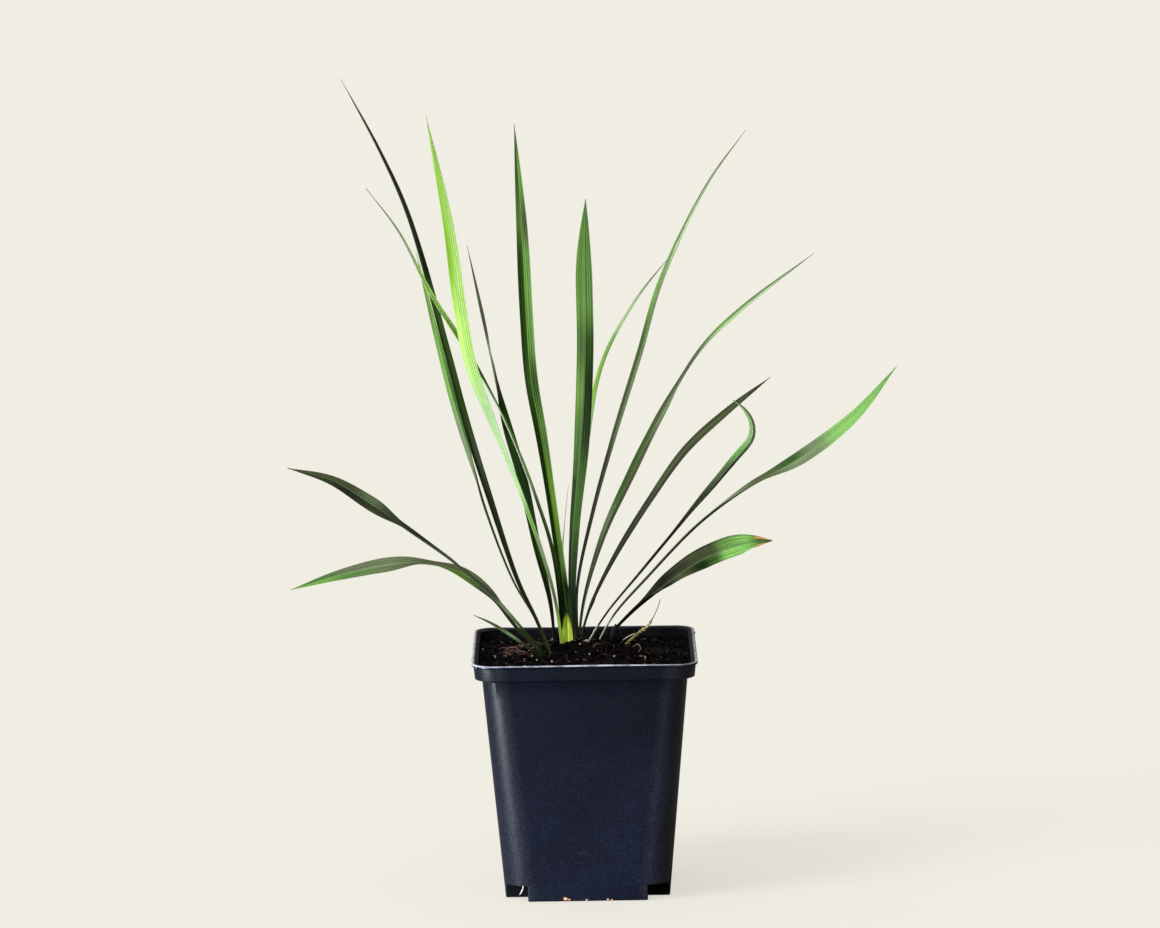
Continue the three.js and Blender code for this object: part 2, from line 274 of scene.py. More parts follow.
class Shader:
    """A material's or a node group's tree, with short ways to add nodes to it."""

    def __init__(self, tree: bpy.types.NodeTree) -> None:
        """Keeps the tree."""
        self.tree = tree

    def node(self, kind: str, **values: object) -> Node:
        """Adds a node.

        Args:
            kind: the last part of its type's name.
            values: properties to set on it.

        Returns:
            The node.
        """
        node = self.tree.nodes.new(f"ShaderNode{kind}")
        for key, value in values.items():
            setattr(node, key, value)
        return node

    def put(self, socket: Socket, value: Feed) -> None:
        """Feeds an input.

        Args:
            socket: the input.
            value: an output to link to it, or a plain value to set on it.
        """
        if isinstance(value, Socket):
            self.tree.links.new(value, socket)
        elif isinstance(value, tuple) and len(value) == 3 and socket.type == "RGBA":
            socket.default_value = (*value, 1.0)
        else:
            socket.default_value = value

    def math(self, operation: str, *values: Feed) -> Socket:
        """Adds a Math node.

        Args:
            operation: what it does.
            values: what feeds its inputs, in their order.

        Returns:
            Its result.
        """
        node = self.node("Math", operation=operation)
        for socket, value in zip(node.inputs, values):
            self.put(socket, value)
        return node.outputs[0]

    def between(self, value: Feed, low: Feed, high: Feed, to_low: Feed = 0.0,
                to_high: Feed = 1.0) -> Socket:
        """Adds a smooth Map Range node.

        Args:
            value: what is mapped.
            low: the value that gives to_low.
            high: the value that gives to_high.
            to_low: result at low and below it.
            to_high: result at high and above it.

        Returns:
            Its result.
        """
        node = self.node("MapRange", interpolation_type="SMOOTHSTEP")
        for socket, given in zip(node.inputs, (value, low, high, to_low, to_high)):
            self.put(socket, given)
        return node.outputs[0]

    def blend(self, factor: Feed, first: Feed, second: Feed, mode: str = "MIX") -> Socket:
        """Adds a colour Mix node.

        Args:
            factor: share of the second colour.
            first: the colour below.
            second: the colour laid over it.
            mode: how it is laid over it.

        Returns:
            The mixed colour.
        """
        node = self.node("Mix", data_type="RGBA", blend_type=mode)
        for place, value in zip(MIX_INPUTS, (factor, first, second)):
            self.put(node.inputs[place], value)
        return node.outputs[MIX_RESULT]

    def grey(self, value: Feed) -> Socket:
        """Adds a grey colour.

        Args:
            value: its red, green and blue.

        Returns:
            The colour.
        """
        node = self.node("CombineColor")
        for socket in node.inputs[:3]:
            self.put(socket, value)
        return node.outputs[0]

    def noise(self, vector: Socket, scale: Feed, detail: float = 3.0, rough: float = 0.55) -> Socket:
        """Adds a Noise Texture.

        Args:
            vector: position at which it is read.
            scale: its scale.
            detail: its number of finer layers.
            rough: how much the finer layers count.

        Returns:
            Its factor.
        """
        node = self.node("TexNoise")
        self.put(node.inputs["Vector"], vector)
        self.put(node.inputs["Scale"], scale)
        node.inputs["Detail"].default_value = detail
        node.inputs["Roughness"].default_value = rough
        return node.outputs["Fac"]

    def place(self) -> Socket:
        """Position on the object, in metres."""
        return self.node("TexCoord").outputs["Object"]

    def shift(self, vector: Socket, seed: Feed, squeeze: Point = (1, 1, 1)) -> Socket:
        """Stretches a position and moves it along all axes.

        Args:
            vector: the position.
            seed: how far it is moved.
            squeeze: factor of each axis.

        Returns:
            The moved position.
        """
        node = self.node("VectorMath", operation="MULTIPLY_ADD")
        self.put(node.inputs[0], vector)
        node.inputs[1].default_value = squeeze
        self.put(node.inputs[2], seed if isinstance(seed, Socket) else (seed, seed, seed))
        return node.outputs[0]

    def group(self, tree: bpy.types.NodeTree, **values: Feed) -> Node:
        """Places a node group.

        Args:
            tree: the group.
            values: what feeds its inputs, by their names.

        Returns:
            The node that holds it.
        """
        node = self.node("Group", node_tree=tree)
        for key, value in values.items():
            self.put(node.inputs[key], value)
        return node

    def bump(self, height: Socket, distance: float, strength: float, below: Socket | None = None) -> Socket:
        """Adds a Bump node.

        Args:
            height: height of the surface.
            distance: how far a height of 1 stands out, in metres.
            strength: how much of it shows.
            below: normal that it is laid over, if there is one.

        Returns:
            Its normal.
        """
        node = self.node("Bump")
        node.inputs["Strength"].default_value = strength
        node.inputs["Distance"].default_value = distance
        self.put(node.inputs["Height"], height)
        if below is not None:
            self.put(node.inputs["Normal"], below)
        return node.outputs[0]


def new_group(name: str, inputs: dict[str, float],
              outputs: list[str]) -> tuple[Shader, Node, Node]:
    """Starts a node group of plain values.

    Args:
        name: the group's name.
        inputs: names and default values of its value inputs.
        outputs: names of its value outputs.

    Returns:
        The group's shader helper, its input node and its output node.
    """
    tree = bpy.data.node_groups.new(name, "ShaderNodeTree")
    for key, value in inputs.items():
        socket = tree.interface.new_socket(key, in_out="INPUT", socket_type="NodeSocketFloat")
        socket.default_value = value
    for key in outputs:
        tree.interface.new_socket(key, in_out="OUTPUT", socket_type="NodeSocketFloat")
    return Shader(tree), tree.nodes.new("NodeGroupInput"), tree.nodes.new("NodeGroupOutput")


def new_material(name: str) -> tuple[Material, Shader, Node]:
    """Starts a material.

    Args:
        name: the material's name.

    Returns:
        The material, its shader helper and its Principled BSDF.
    """
    material = bpy.data.materials.new(name)
    material.use_nodes = True
    shader = Shader(material.node_tree)
    return material, shader, material.node_tree.nodes["Principled BSDF"]


class Effects:
    """Node groups that several materials share, each built once."""

    def __init__(self) -> None:
        """Builds all the groups."""
        self.veins = self._veins()
        self.mottle = self._mottle()
        self.grain = self._grain()

    def _veins(self) -> bpy.types.NodeTree:
        """Makes the ridges, streaks and flecks of a leaf, from the share across and the length along it.

        Returns:
            The group.
        """
        shader, given, out = new_group(
            "leaf veins", {"Across": 0.5, "Along": 0.0, "Count": 9.0, "Seed": 0.0},
            ["Ridge", "Streak", "Fleck"])
        across, along, seed = (given.outputs[key] for key in ("Across", "Along", "Seed"))
        wander = self._streak_noise(shader, across, along, seed, fine=3.0, pace=0.02)
        turns = shader.math("MULTIPLY", shader.math("ADD", across, shader.math("MULTIPLY", wander, 0.02)),
                            shader.math("MULTIPLY", given.outputs["Count"], 2 * math.pi))
        ridge = shader.math("MULTIPLY_ADD", shader.math("COSINE", turns), 0.5, 0.5)
        shader.put(out.inputs["Ridge"], ridge)
        streak = self._streak_noise(shader, across, along, seed, fine=9.0, pace=0.01)
        shader.put(out.inputs["Streak"], streak)
        fleck = self._streak_noise(shader, across, along, seed, fine=26.0, pace=0.35)
        shader.put(out.inputs["Fleck"], fleck)
        return shader.tree

    @staticmethod
    def _streak_noise(shader: Shader, across: Socket, along: Socket, seed: Socket,
                      fine: float, pace: float) -> Socket:
        """Adds a noise that is fine across a leaf and long along it.

        Args:
            shader: the group's shader helper.
            across: share across the leaf.
            along: length along the leaf.
            seed: number that moves the noise.
            fine: scale across the leaf.
            pace: scale along the leaf.

        Returns:
            The noise.
        """
        place = shader.node("CombineXYZ")
        shader.put(place.inputs["X"], shader.math("MULTIPLY", across, fine))
        shader.put(place.inputs["Y"], shader.math("MULTIPLY", along, pace))
        shader.put(place.inputs["Z"], seed)
        return shader.noise(place.outputs[0], 1.0, detail=2.0)

    @staticmethod
    def _mottle() -> bpy.types.NodeTree:
        """Makes soft uneven patches with a chosen contrast round 1, and a mask of small rare spots.

        Returns:
            The group.
        """
        shader, given, out = new_group(
            "mottle", {"Scale": 100.0, "Contrast": 0.3, "Seed": 0.0}, ["Factor", "Spots"])
        place = shader.shift(shader.place(), given.outputs["Seed"])
        patches = shader.noise(place, given.outputs["Scale"], detail=4.0, rough=0.6)
        swing = shader.math("MULTIPLY", shader.math("SUBTRACT", patches, 0.5), 2.0)
        factor = shader.math("MULTIPLY_ADD", swing, given.outputs["Contrast"], 1.0)
        shader.put(out.inputs["Factor"], factor)
        fine_scale = shader.math("MULTIPLY", given.outputs["Scale"], SPOT_FINENESS)
        fine = shader.noise(place, fine_scale, detail=2.0)
        shader.put(out.inputs["Spots"], shader.between(fine, *SPOT_BAND))
        return shader.tree

    @staticmethod
    def _grain() -> bpy.types.NodeTree:
        """Makes the fine pebbled height of a moulded or dried surface, at a grain size in millimetres.

        Returns:
            The group.
        """
        shader, given, out = new_group("fine grain", {"Size": 0.5, "Seed": 0.0}, ["Height", "Pits"])
        place = shader.shift(shader.place(), given.outputs["Seed"])
        scale = shader.math("DIVIDE", 1 / MM, given.outputs["Size"])
        cells = shader.node("TexVoronoi", feature="SMOOTH_F1")
        shader.put(cells.inputs["Vector"], place)
        shader.put(cells.inputs["Scale"], scale)
        cells.inputs["Smoothness"].default_value = 0.6
        fine = shader.noise(place, shader.math("MULTIPLY", scale, 0.6))
        height = shader.math("MULTIPLY_ADD", cells.outputs["Distance"], -0.6, fine)
        shader.put(out.inputs["Height"], height)
        shader.put(out.inputs["Pits"], shader.between(cells.outputs["Distance"], *PIT_BAND))
        return shader.tree


# Leaves

# Rows and columns of a blade
LEAF_ACROSS = 17
LEAF_STEP = 2.2
LEAST_ROWS = 10
CURVE_SAMPLES = 40

# The buried base
ROOT_DEPTH = 5.0
ROOT_LEAN = 0.7

# Outline of a blade
WIDEST_FROM = 0.45
TAPER_POWER = 1.7
TIP_WIDTH = 0.25
RAGGED_TURNS = 23
RAGGED_SHARE = 0.25
BITE_POWER = 0.6

# Section of a blade
BLADE_THICKNESS = 0.42
TIP_THICKNESS = 0.35
TIP_REACH = 0.08
MARGIN_THINNING = 0.55
FOLD = 0.22
FOLD_POWER = 1.4
FULL_PLEAT_HALF = 1.5
KEEL_HEIGHT = 0.16
KEEL_WIDTH = 0.14
KNOT_REACH = 1.6
KNOT_SPREAD = 0.6

# Finish that all blades share: bands are the values between which a mask sets in, relief is in metres
BLADE_SPECULAR = 0.09
HALVES_BAND = (0.4, 0.6)
VEIN_LENGTH = 200.0
STREAK_GAIN = 3.2
RIDGE_SHADE = 0.3
RIB_BAND = (0.02, 0.07)
FLECK_BAND = (0.62, 0.75)
FLECK_SHARE = 0.14
UNDER_GREY = 0.05
UNDER_ROUGHNESS = 0.12
STREAK_ROUGHNESS = 0.2
RIDGE_RELIEF = 0.00016
FLECK_RELIEF = 0.00006
WITHERED_BAND = (0.26, 0.36)
BROWN_BAND = (0.42, 0.48)
SCORCH_LEAST = 0.01
SCORCH_RAGGED = 0.06
SEED_STEP = 3.7

Stop = tuple[float, Pigment] | tuple[float, Pigment, Pigment]
Route = tuple[tuple[float, float, float], ...]


def rooted_curve(route: Route) -> list[Vector]:
    """Samples the smooth curve of a leaf or a strand.

    Args:
        route: points from the soil's surface to the tip.

    Returns:
        Points of the centripetal Catmull-Rom curve through the buried base and the route.
    """
    surface, following = Vector(route[0]), Vector(route[1])
    lean = ROOT_LEAN * ROOT_DEPTH / (following.z - surface.z)
    buried = surface - (following - surface) * lean
    buried.z = surface.z - ROOT_DEPTH
    points = [buried, *map(Vector, route)]
    ends = [points[0] * 2 - points[1], *points, points[-1] * 2 - points[-2]]
    found = []
    for p0, p1, p2, p3 in zip(ends, ends[1:], ends[2:], ends[3:]):
        d0, d1, d2 = ((b - a).length ** 0.5 for a, b in ((p0, p1), (p1, p2), (p2, p3)))
        start = ((p1 - p0) / d0 - (p2 - p0) / (d0 + d1) + (p2 - p1) / d1) * d1
        end = ((p2 - p1) / d1 - (p3 - p1) / (d1 + d2) + (p3 - p2) / d2) * d1
        for step in range(CURVE_SAMPLES):
            t = step / CURVE_SAMPLES
            found.append(p1 + start * t + (p2 * 3 - p1 * 3 - start * 2 - end) * t ** 2
                         + (p1 * 2 - p2 * 2 + start + end) * t ** 3)
    return [*found, points[-1]]


@dataclass(frozen=True)
class LeafFinish:
    """How one leaf is coloured.

    Attributes:
        slot: slot of the record.
        stops: share of the length, and the colour, or the colours of the left and right halves from -Y. They
            paint light and shade as well as the leaf's own colour: the two halves stand for the lit and the
            shaded side of a folded blade.
        streaks: contrast of the soft streaks along the leaf.
        rib: how much the midrib's colour differs from the blade's.
        rib_color: colour of the midrib.
        glow: share of the light that comes through the blade.
        roughness: roughness of the shaded parts.
        scorch: share of the length at which the margins are withered brown, or 0.
    """

    slot: Slot
    stops: tuple[Stop, ...]
    streaks: float = 0.35
    rib: float = 0.12
    rib_color: Pigment = Pigment.PALE
    glow: float = 0.1
    roughness: float = 0.46
    scorch: float = 0.0

    def material(self, name: str, effects: Effects, seed: float, swaps: list[bool]) -> Material:
        """Makes the leaf's material.

        Args:
            name: name of the leaf.
            effects: the shared node groups.
            seed: number that moves the noise of this leaf.
            swaps: for each stop, whether the blade is turned so that its halves change sides.

        Returns:
            The material.
        """
        material, shader, body = new_material(f"{name} blade")
        chart = shader.node("SeparateXYZ")
        shader.put(chart.inputs[0], shader.node("UVMap", uv_map=CHART).outputs[0])
        under = shader.math("GREATER_THAN", chart.outputs["X"], 1.0)
        across = shader.math("PINGPONG", chart.outputs["X"], 1.0)
        along = chart.outputs["Y"]
        length = shader.math("MULTIPLY", along, VEIN_LENGTH)
        veins = shader.group(effects.veins, Across=across, Along=length, Count=7.0, Seed=seed)
        mottle = shader.group(effects.mottle, Scale=140.0, Contrast=0.16, Seed=seed)
        color = self._halves(shader, across, along, swaps)
        color = self._veined(shader, color, veins, mottle)
        beside = shader.math("ABSOLUTE", shader.math("SUBTRACT", across, 0.5))
        rib = shader.math("MULTIPLY", shader.between(beside, *RIB_BAND, 1.0, 0.0), self.rib)
        color = shader.blend(rib, color, self.rib_color.value)
        fleck = shader.math("MULTIPLY", shader.between(veins.outputs["Fleck"], *FLECK_BAND), FLECK_SHARE)
        color = shader.blend(fleck, color, Pigment.GREY_GREEN.value)
        color = shader.blend(shader.math("MULTIPLY", under, UNDER_GREY), color, Pigment.GREY_GREEN.value)
        if self.scorch:
            color = self._scorched(shader, color, beside, along, veins.outputs["Streak"])
        shader.put(body.inputs["Base Color"], color)
        gloss = shader.math("MULTIPLY_ADD", veins.outputs["Streak"], STREAK_ROUGHNESS,
                            self.roughness - STREAK_ROUGHNESS / 2)
        shader.put(body.inputs["Roughness"], shader.math("MULTIPLY_ADD", under, UNDER_ROUGHNESS, gloss))
        body.inputs["Specular IOR Level"].default_value = BLADE_SPECULAR
        normal = shader.bump(veins.outputs["Ridge"], RIDGE_RELIEF, 0.7)
        normal = shader.bump(veins.outputs["Fleck"], FLECK_RELIEF, 0.6, normal)
        shader.put(body.inputs["Normal"], normal)
        self._let_light_through(shader, body, color)
        return material

    def _halves(self, shader: Shader, across: Socket, along: Socket, swaps: list[bool]) -> Socket:
        """Adds the colours of the two halves: the leaf's own colour with painted light on the lit half and
        painted shade on the shaded half.

        Args:
            shader: the material's shader helper.
            across: share across the blade.
            along: share along the blade.
            swaps: for each stop, whether the halves change sides there.

        Returns:
            The colour.
        """
        left, right = 1, -1
        sides = [(right, left) if swap else (left, right) for swap in swaps]
        near = self._ramp(shader, along, [stop[near] for stop, (near, _) in zip(self.stops, sides)])
        far = self._ramp(shader, along, [stop[far] for stop, (_, far) in zip(self.stops, sides)])
        return shader.blend(shader.between(across, *HALVES_BAND), near, far)

    def _veined(self, shader: Shader, color: Socket, veins: Node,
                mottle: Node) -> Socket:
        """Lays streaks, ridges and soft patches over a colour.

        Args:
            shader: the material's shader helper.
            color: the colour.
            veins: the group of the leaf's veins.
            mottle: the group of its patches.

        Returns:
            The colour with lighter and darker places.
        """
        swing = shader.math("SUBTRACT", veins.outputs["Streak"], 0.5)
        streak = shader.math("MULTIPLY_ADD", swing, STREAK_GAIN * self.streaks, 1.0)
        ridge = shader.math("MULTIPLY_ADD", veins.outputs["Ridge"], RIDGE_SHADE, 0.84)
        tone = shader.math("MULTIPLY", shader.math("MULTIPLY", streak, ridge), mottle.outputs["Factor"])
        return shader.blend(1.0, color, shader.grey(tone), "MULTIPLY")

    def _scorched(self, shader: Shader, color: Socket, beside: Socket, along: Socket,
                  streak: Socket) -> Socket:
        """Lays a withered, ragged patch on both margins.

        Args:
            shader: the material's shader helper.
            color: the leaf's colour.
            beside: distance from the middle of the blade, as a share of its width.
            along: share along the blade.
            streak: noise that makes the patch ragged.

        Returns:
            The colour with the patch.
        """
        off = shader.math("ABSOLUTE", shader.math("SUBTRACT", along, self.scorch))
        reach = shader.math("MULTIPLY_ADD", streak, SCORCH_RAGGED, SCORCH_LEAST)
        near = shader.math("LESS_THAN", off, reach)
        margin = shader.between(beside, *WITHERED_BAND)
        color = shader.blend(shader.math("MULTIPLY", near, margin), color, Pigment.WITHERED.value)
        edge = shader.between(beside, *BROWN_BAND)
        return shader.blend(shader.math("MULTIPLY", near, edge), color, Pigment.BROWN.value)

    def _let_light_through(self, shader: Shader, body: Node, color: Socket) -> None:
        """Mixes a translucent shader with the leaf's own colour into the surface.

        Args:
            shader: the material's shader helper.
            body: its Principled BSDF.
            color: the leaf's colour.
        """
        through = shader.node("BsdfTranslucent")
        shader.put(through.inputs["Color"], color)
        mix = shader.node("MixShader")
        mix.inputs[0].default_value = self.glow
        shader.put(mix.inputs[1], body.outputs[0])
        shader.put(mix.inputs[2], through.outputs[0])
        shader.put(shader.tree.nodes["Material Output"].inputs["Surface"], mix.outputs[0])

    def _ramp(self, shader: Shader, along: Socket, colors: list[Pigment]) -> Socket:
        """Adds a colour ramp along the leaf.

        Args:
            shader: the material's shader helper.
            along: share along the blade.
            colors: the colour at each stop.

        Returns:
            The colour.
        """
        ramp = shader.node("ValToRGB")
        ramp.color_ramp.interpolation = "EASE"
        elements = ramp.color_ramp.elements
        while len(elements) < len(self.stops):
            elements.new(0.5)
        for element, (share, *_) in zip(elements, self.stops):
            element.position = share
        for element, color in zip(elements, colors):
            element.color = (*color.value, 1.0)
        shader.put(ramp.inputs[0], along)
        return ramp.outputs[0]


@dataclass
class Leaf:
    """One leaf: its route from the soil to its tip, its widths, its roll and its finish.

    Attributes:
        name: name of the piece and of the CAD node that it stands for.
        width: full width.
        base: width at the base.
        taper: share of the length that tapers to the tip.
        turns: roll along the leaf as pairs of a share of the length and degrees.
        route: points from the soil's surface to the tip.
        finish: colours.
        fold: depth of the channel as a share of the half width.
        widest: share of the length at which the leaf reaches its full width.
        pleats: number of lengthwise pleats.
        pleat_depth: height of the pleats.
        bites: torn margins, each the share it starts and ends at, its side and its depth.
        knots: swellings, each the share it sits at and its height.
        slim: share of the solid's width that the drawn blade has.
    """

    name: str
    width: float
    base: float
    taper: float
    turns: tuple[tuple[float, float], ...]
    route: Route
    finish: LeafFinish
    fold: float = FOLD
    widest: float = WIDEST_FROM
    pleats: int = 3
    pleat_depth: float = 0.07
    bites: tuple[tuple[float, float, int, float], ...] = ()
    knots: tuple[tuple[float, float], ...] = ()
    slim: float = 1.0

    def __post_init__(self) -> None:
        """Samples the leaf's curve by length."""
        self._samples = np.array(rooted_curve(self.route))
        steps = np.linalg.norm(np.diff(self._samples, axis=0), axis=1)
        self._lengths = np.concatenate([[0.0], np.cumsum(steps)])

    @property
    def length(self) -> float:
        """Length of the leaf, with its buried base."""
        return float(self._lengths[-1])

    def point(self, share: float) -> Vector:
        """Point of the curve at a share of its length."""
        at = share * self.length
        return Vector([float(np.interp(at, self._lengths, self._samples[:, k])) for k in range(3)])

    def turn(self, share: float) -> float:
        """Finds the roll.

        Args:
            share: a share of the length.

        Returns:
            The roll there, in degrees.
        """
        for (low, start), (high, end) in zip(self.turns, self.turns[1:]):
            if share <= high:
                break
        return start + (end - start) * smoothstep(share, low, high)

    def half_width(self, share: float) -> float:
        """Finds half of the width.

        Args:
            share: a share of the length.

        Returns:
            Half of the width there.
        """
        full = self.base + (self.width - self.base) * smoothstep(share, 0, self.widest)
        to_tip = min((1 - share) / self.taper, 1)
        return max(TIP_WIDTH, self.slim * full * (1 - (1 - to_tip) ** TAPER_POWER)) / 2

    def axes(self, share: float) -> tuple[Vector, Vector]:
        """Finds how the blade is turned.

        Args:
            share: a share of the length.

        Returns:
            Unit vectors there, across the blade and up from its upper face.
        """
        reach = min(0.5 * LEAF_STEP / self.length, 0.01)
        along = (self.point(min(share + reach, 1)) - self.point(max(share - reach, 0))).normalized()
        level = Vector((0, 1, 0)).cross(along).normalized()
        facing = level.cross(along)
        turn = math.radians(self.turn(share))
        side = level * math.cos(turn) + facing * math.sin(turn)
        return side, side.cross(along)

    def _bite(self, share: float, side: int) -> float:
        """Finds what a torn margin leaves.

        Args:
            share: a share of the length.
            side: 1 for the far margin and -1 for the near one.

        Returns:
            Share of the half width that is left there on that side.
        """
        left = 1.0
        for low, high, where, depth in self.bites:
            if where == side and low < share < high:
                place = (share - low) / (high - low)
                ragged = 1 - RAGGED_SHARE + RAGGED_SHARE * math.sin(place * RAGGED_TURNS)
                left -= depth * math.sin(math.pi * place) ** BITE_POWER * ragged
        return left

    def ring(self, share: float) -> list[Vector]:
        """Makes a ring round the blade.

        Args:
            share: a share of the length.

        Returns:
            Points over the upper face and back below.
        """
        centre, half = self.point(share), self.half_width(share)
        side, up = self.axes(share)
        edge = self.fold * half / 2
        slim = TIP_THICKNESS + (1 - TIP_THICKNESS) * smoothstep(1 - share, 0, TIP_REACH)
        swell = sum(size * math.exp(-((share - at) * self.length / KNOT_REACH) ** 2)
                    for at, size in self.knots)
        upper, lower = [], []
        for k in range(LEAF_ACROSS):
            s = 2 * k / (LEAF_ACROSS - 1) - 1
            out = (half + KNOT_SPREAD * swell) * s * self._bite(share, 1 if s > 0 else -1)
            pleat = self.pleat_depth * math.cos(2 * math.pi * self.pleats * s) * (1 - s * s)
            rise = edge * (2 * abs(s) ** FOLD_POWER - 1) + pleat * min(1.0, half / FULL_PLEAT_HALF)
            thick = BLADE_THICKNESS / 2 * slim * (1 - MARGIN_THINNING * s * s) + swell * (1 - s * s)
            keel = KEEL_HEIGHT * slim * math.exp(-(s / KEEL_WIDTH) ** 2) * min(1.0, half)
            upper.append(centre + side * out + up * (rise + thick))
            lower.append(centre + side * out + up * (rise - thick - keel))
        return upper + lower[::-1]

    def draft(self) -> MeshDraft:
        """Makes the blade's mesh, with the shares across and along it as coordinates.

        Returns:
            The mesh. Across, its coordinate runs from 0 to 1 above and on from 1 to 2 below.
        """
        draft = MeshDraft()
        steps = max(LEAST_ROWS, round(self.length / LEAF_STEP))
        count = 2 * LEAF_ACROSS
        shares = [step / steps for step in range(steps + 1)]
        for share in shares:
            draft.add_points(self.ring(share))
        chart = [k / (LEAF_ACROSS - 1) for k in range(LEAF_ACROSS)]
        chart += [1 + place for place in chart]
        for row in range(steps):
            low, high = shares[row], shares[row + 1]
            for k in range(count):
                following = (k + 1) % count
                first, second = chart[k], chart[following]
                if following == 0:
                    second = first
                elif following == LEAF_ACROSS:
                    first = second
                a, b = row * count + k, row * count + following
                draft.add_face((a, b, b + count, a + count),
                               [(first, low), (second, low), (second, high), (first, high)])
        draft.add_face(tuple(reversed(range(count))), [(0.5, 0.0)] * count)
        last = steps * count
        draft.add_face(tuple(range(last, last + count)), [(0.5, 1.0)] * count)
        return draft

    def dress(self, effects: Effects, seed: float) -> None:
        """Makes the finished leaf.

        Args:
            effects: the shared node groups.
            seed: number that moves the noise of this leaf.
        """
        swaps = [math.cos(math.radians(self.turn(share))) < 0 for share, *_ in self.finish.stops]
        material = self.finish.material(self.name, effects, seed, swaps)
        piece = self.draft().build(f"{self.name}_blade", [material], smooth=60)
        seat(piece, self.finish.slot, self.name)


# Short name that keeps the stops readable
P = Pigment
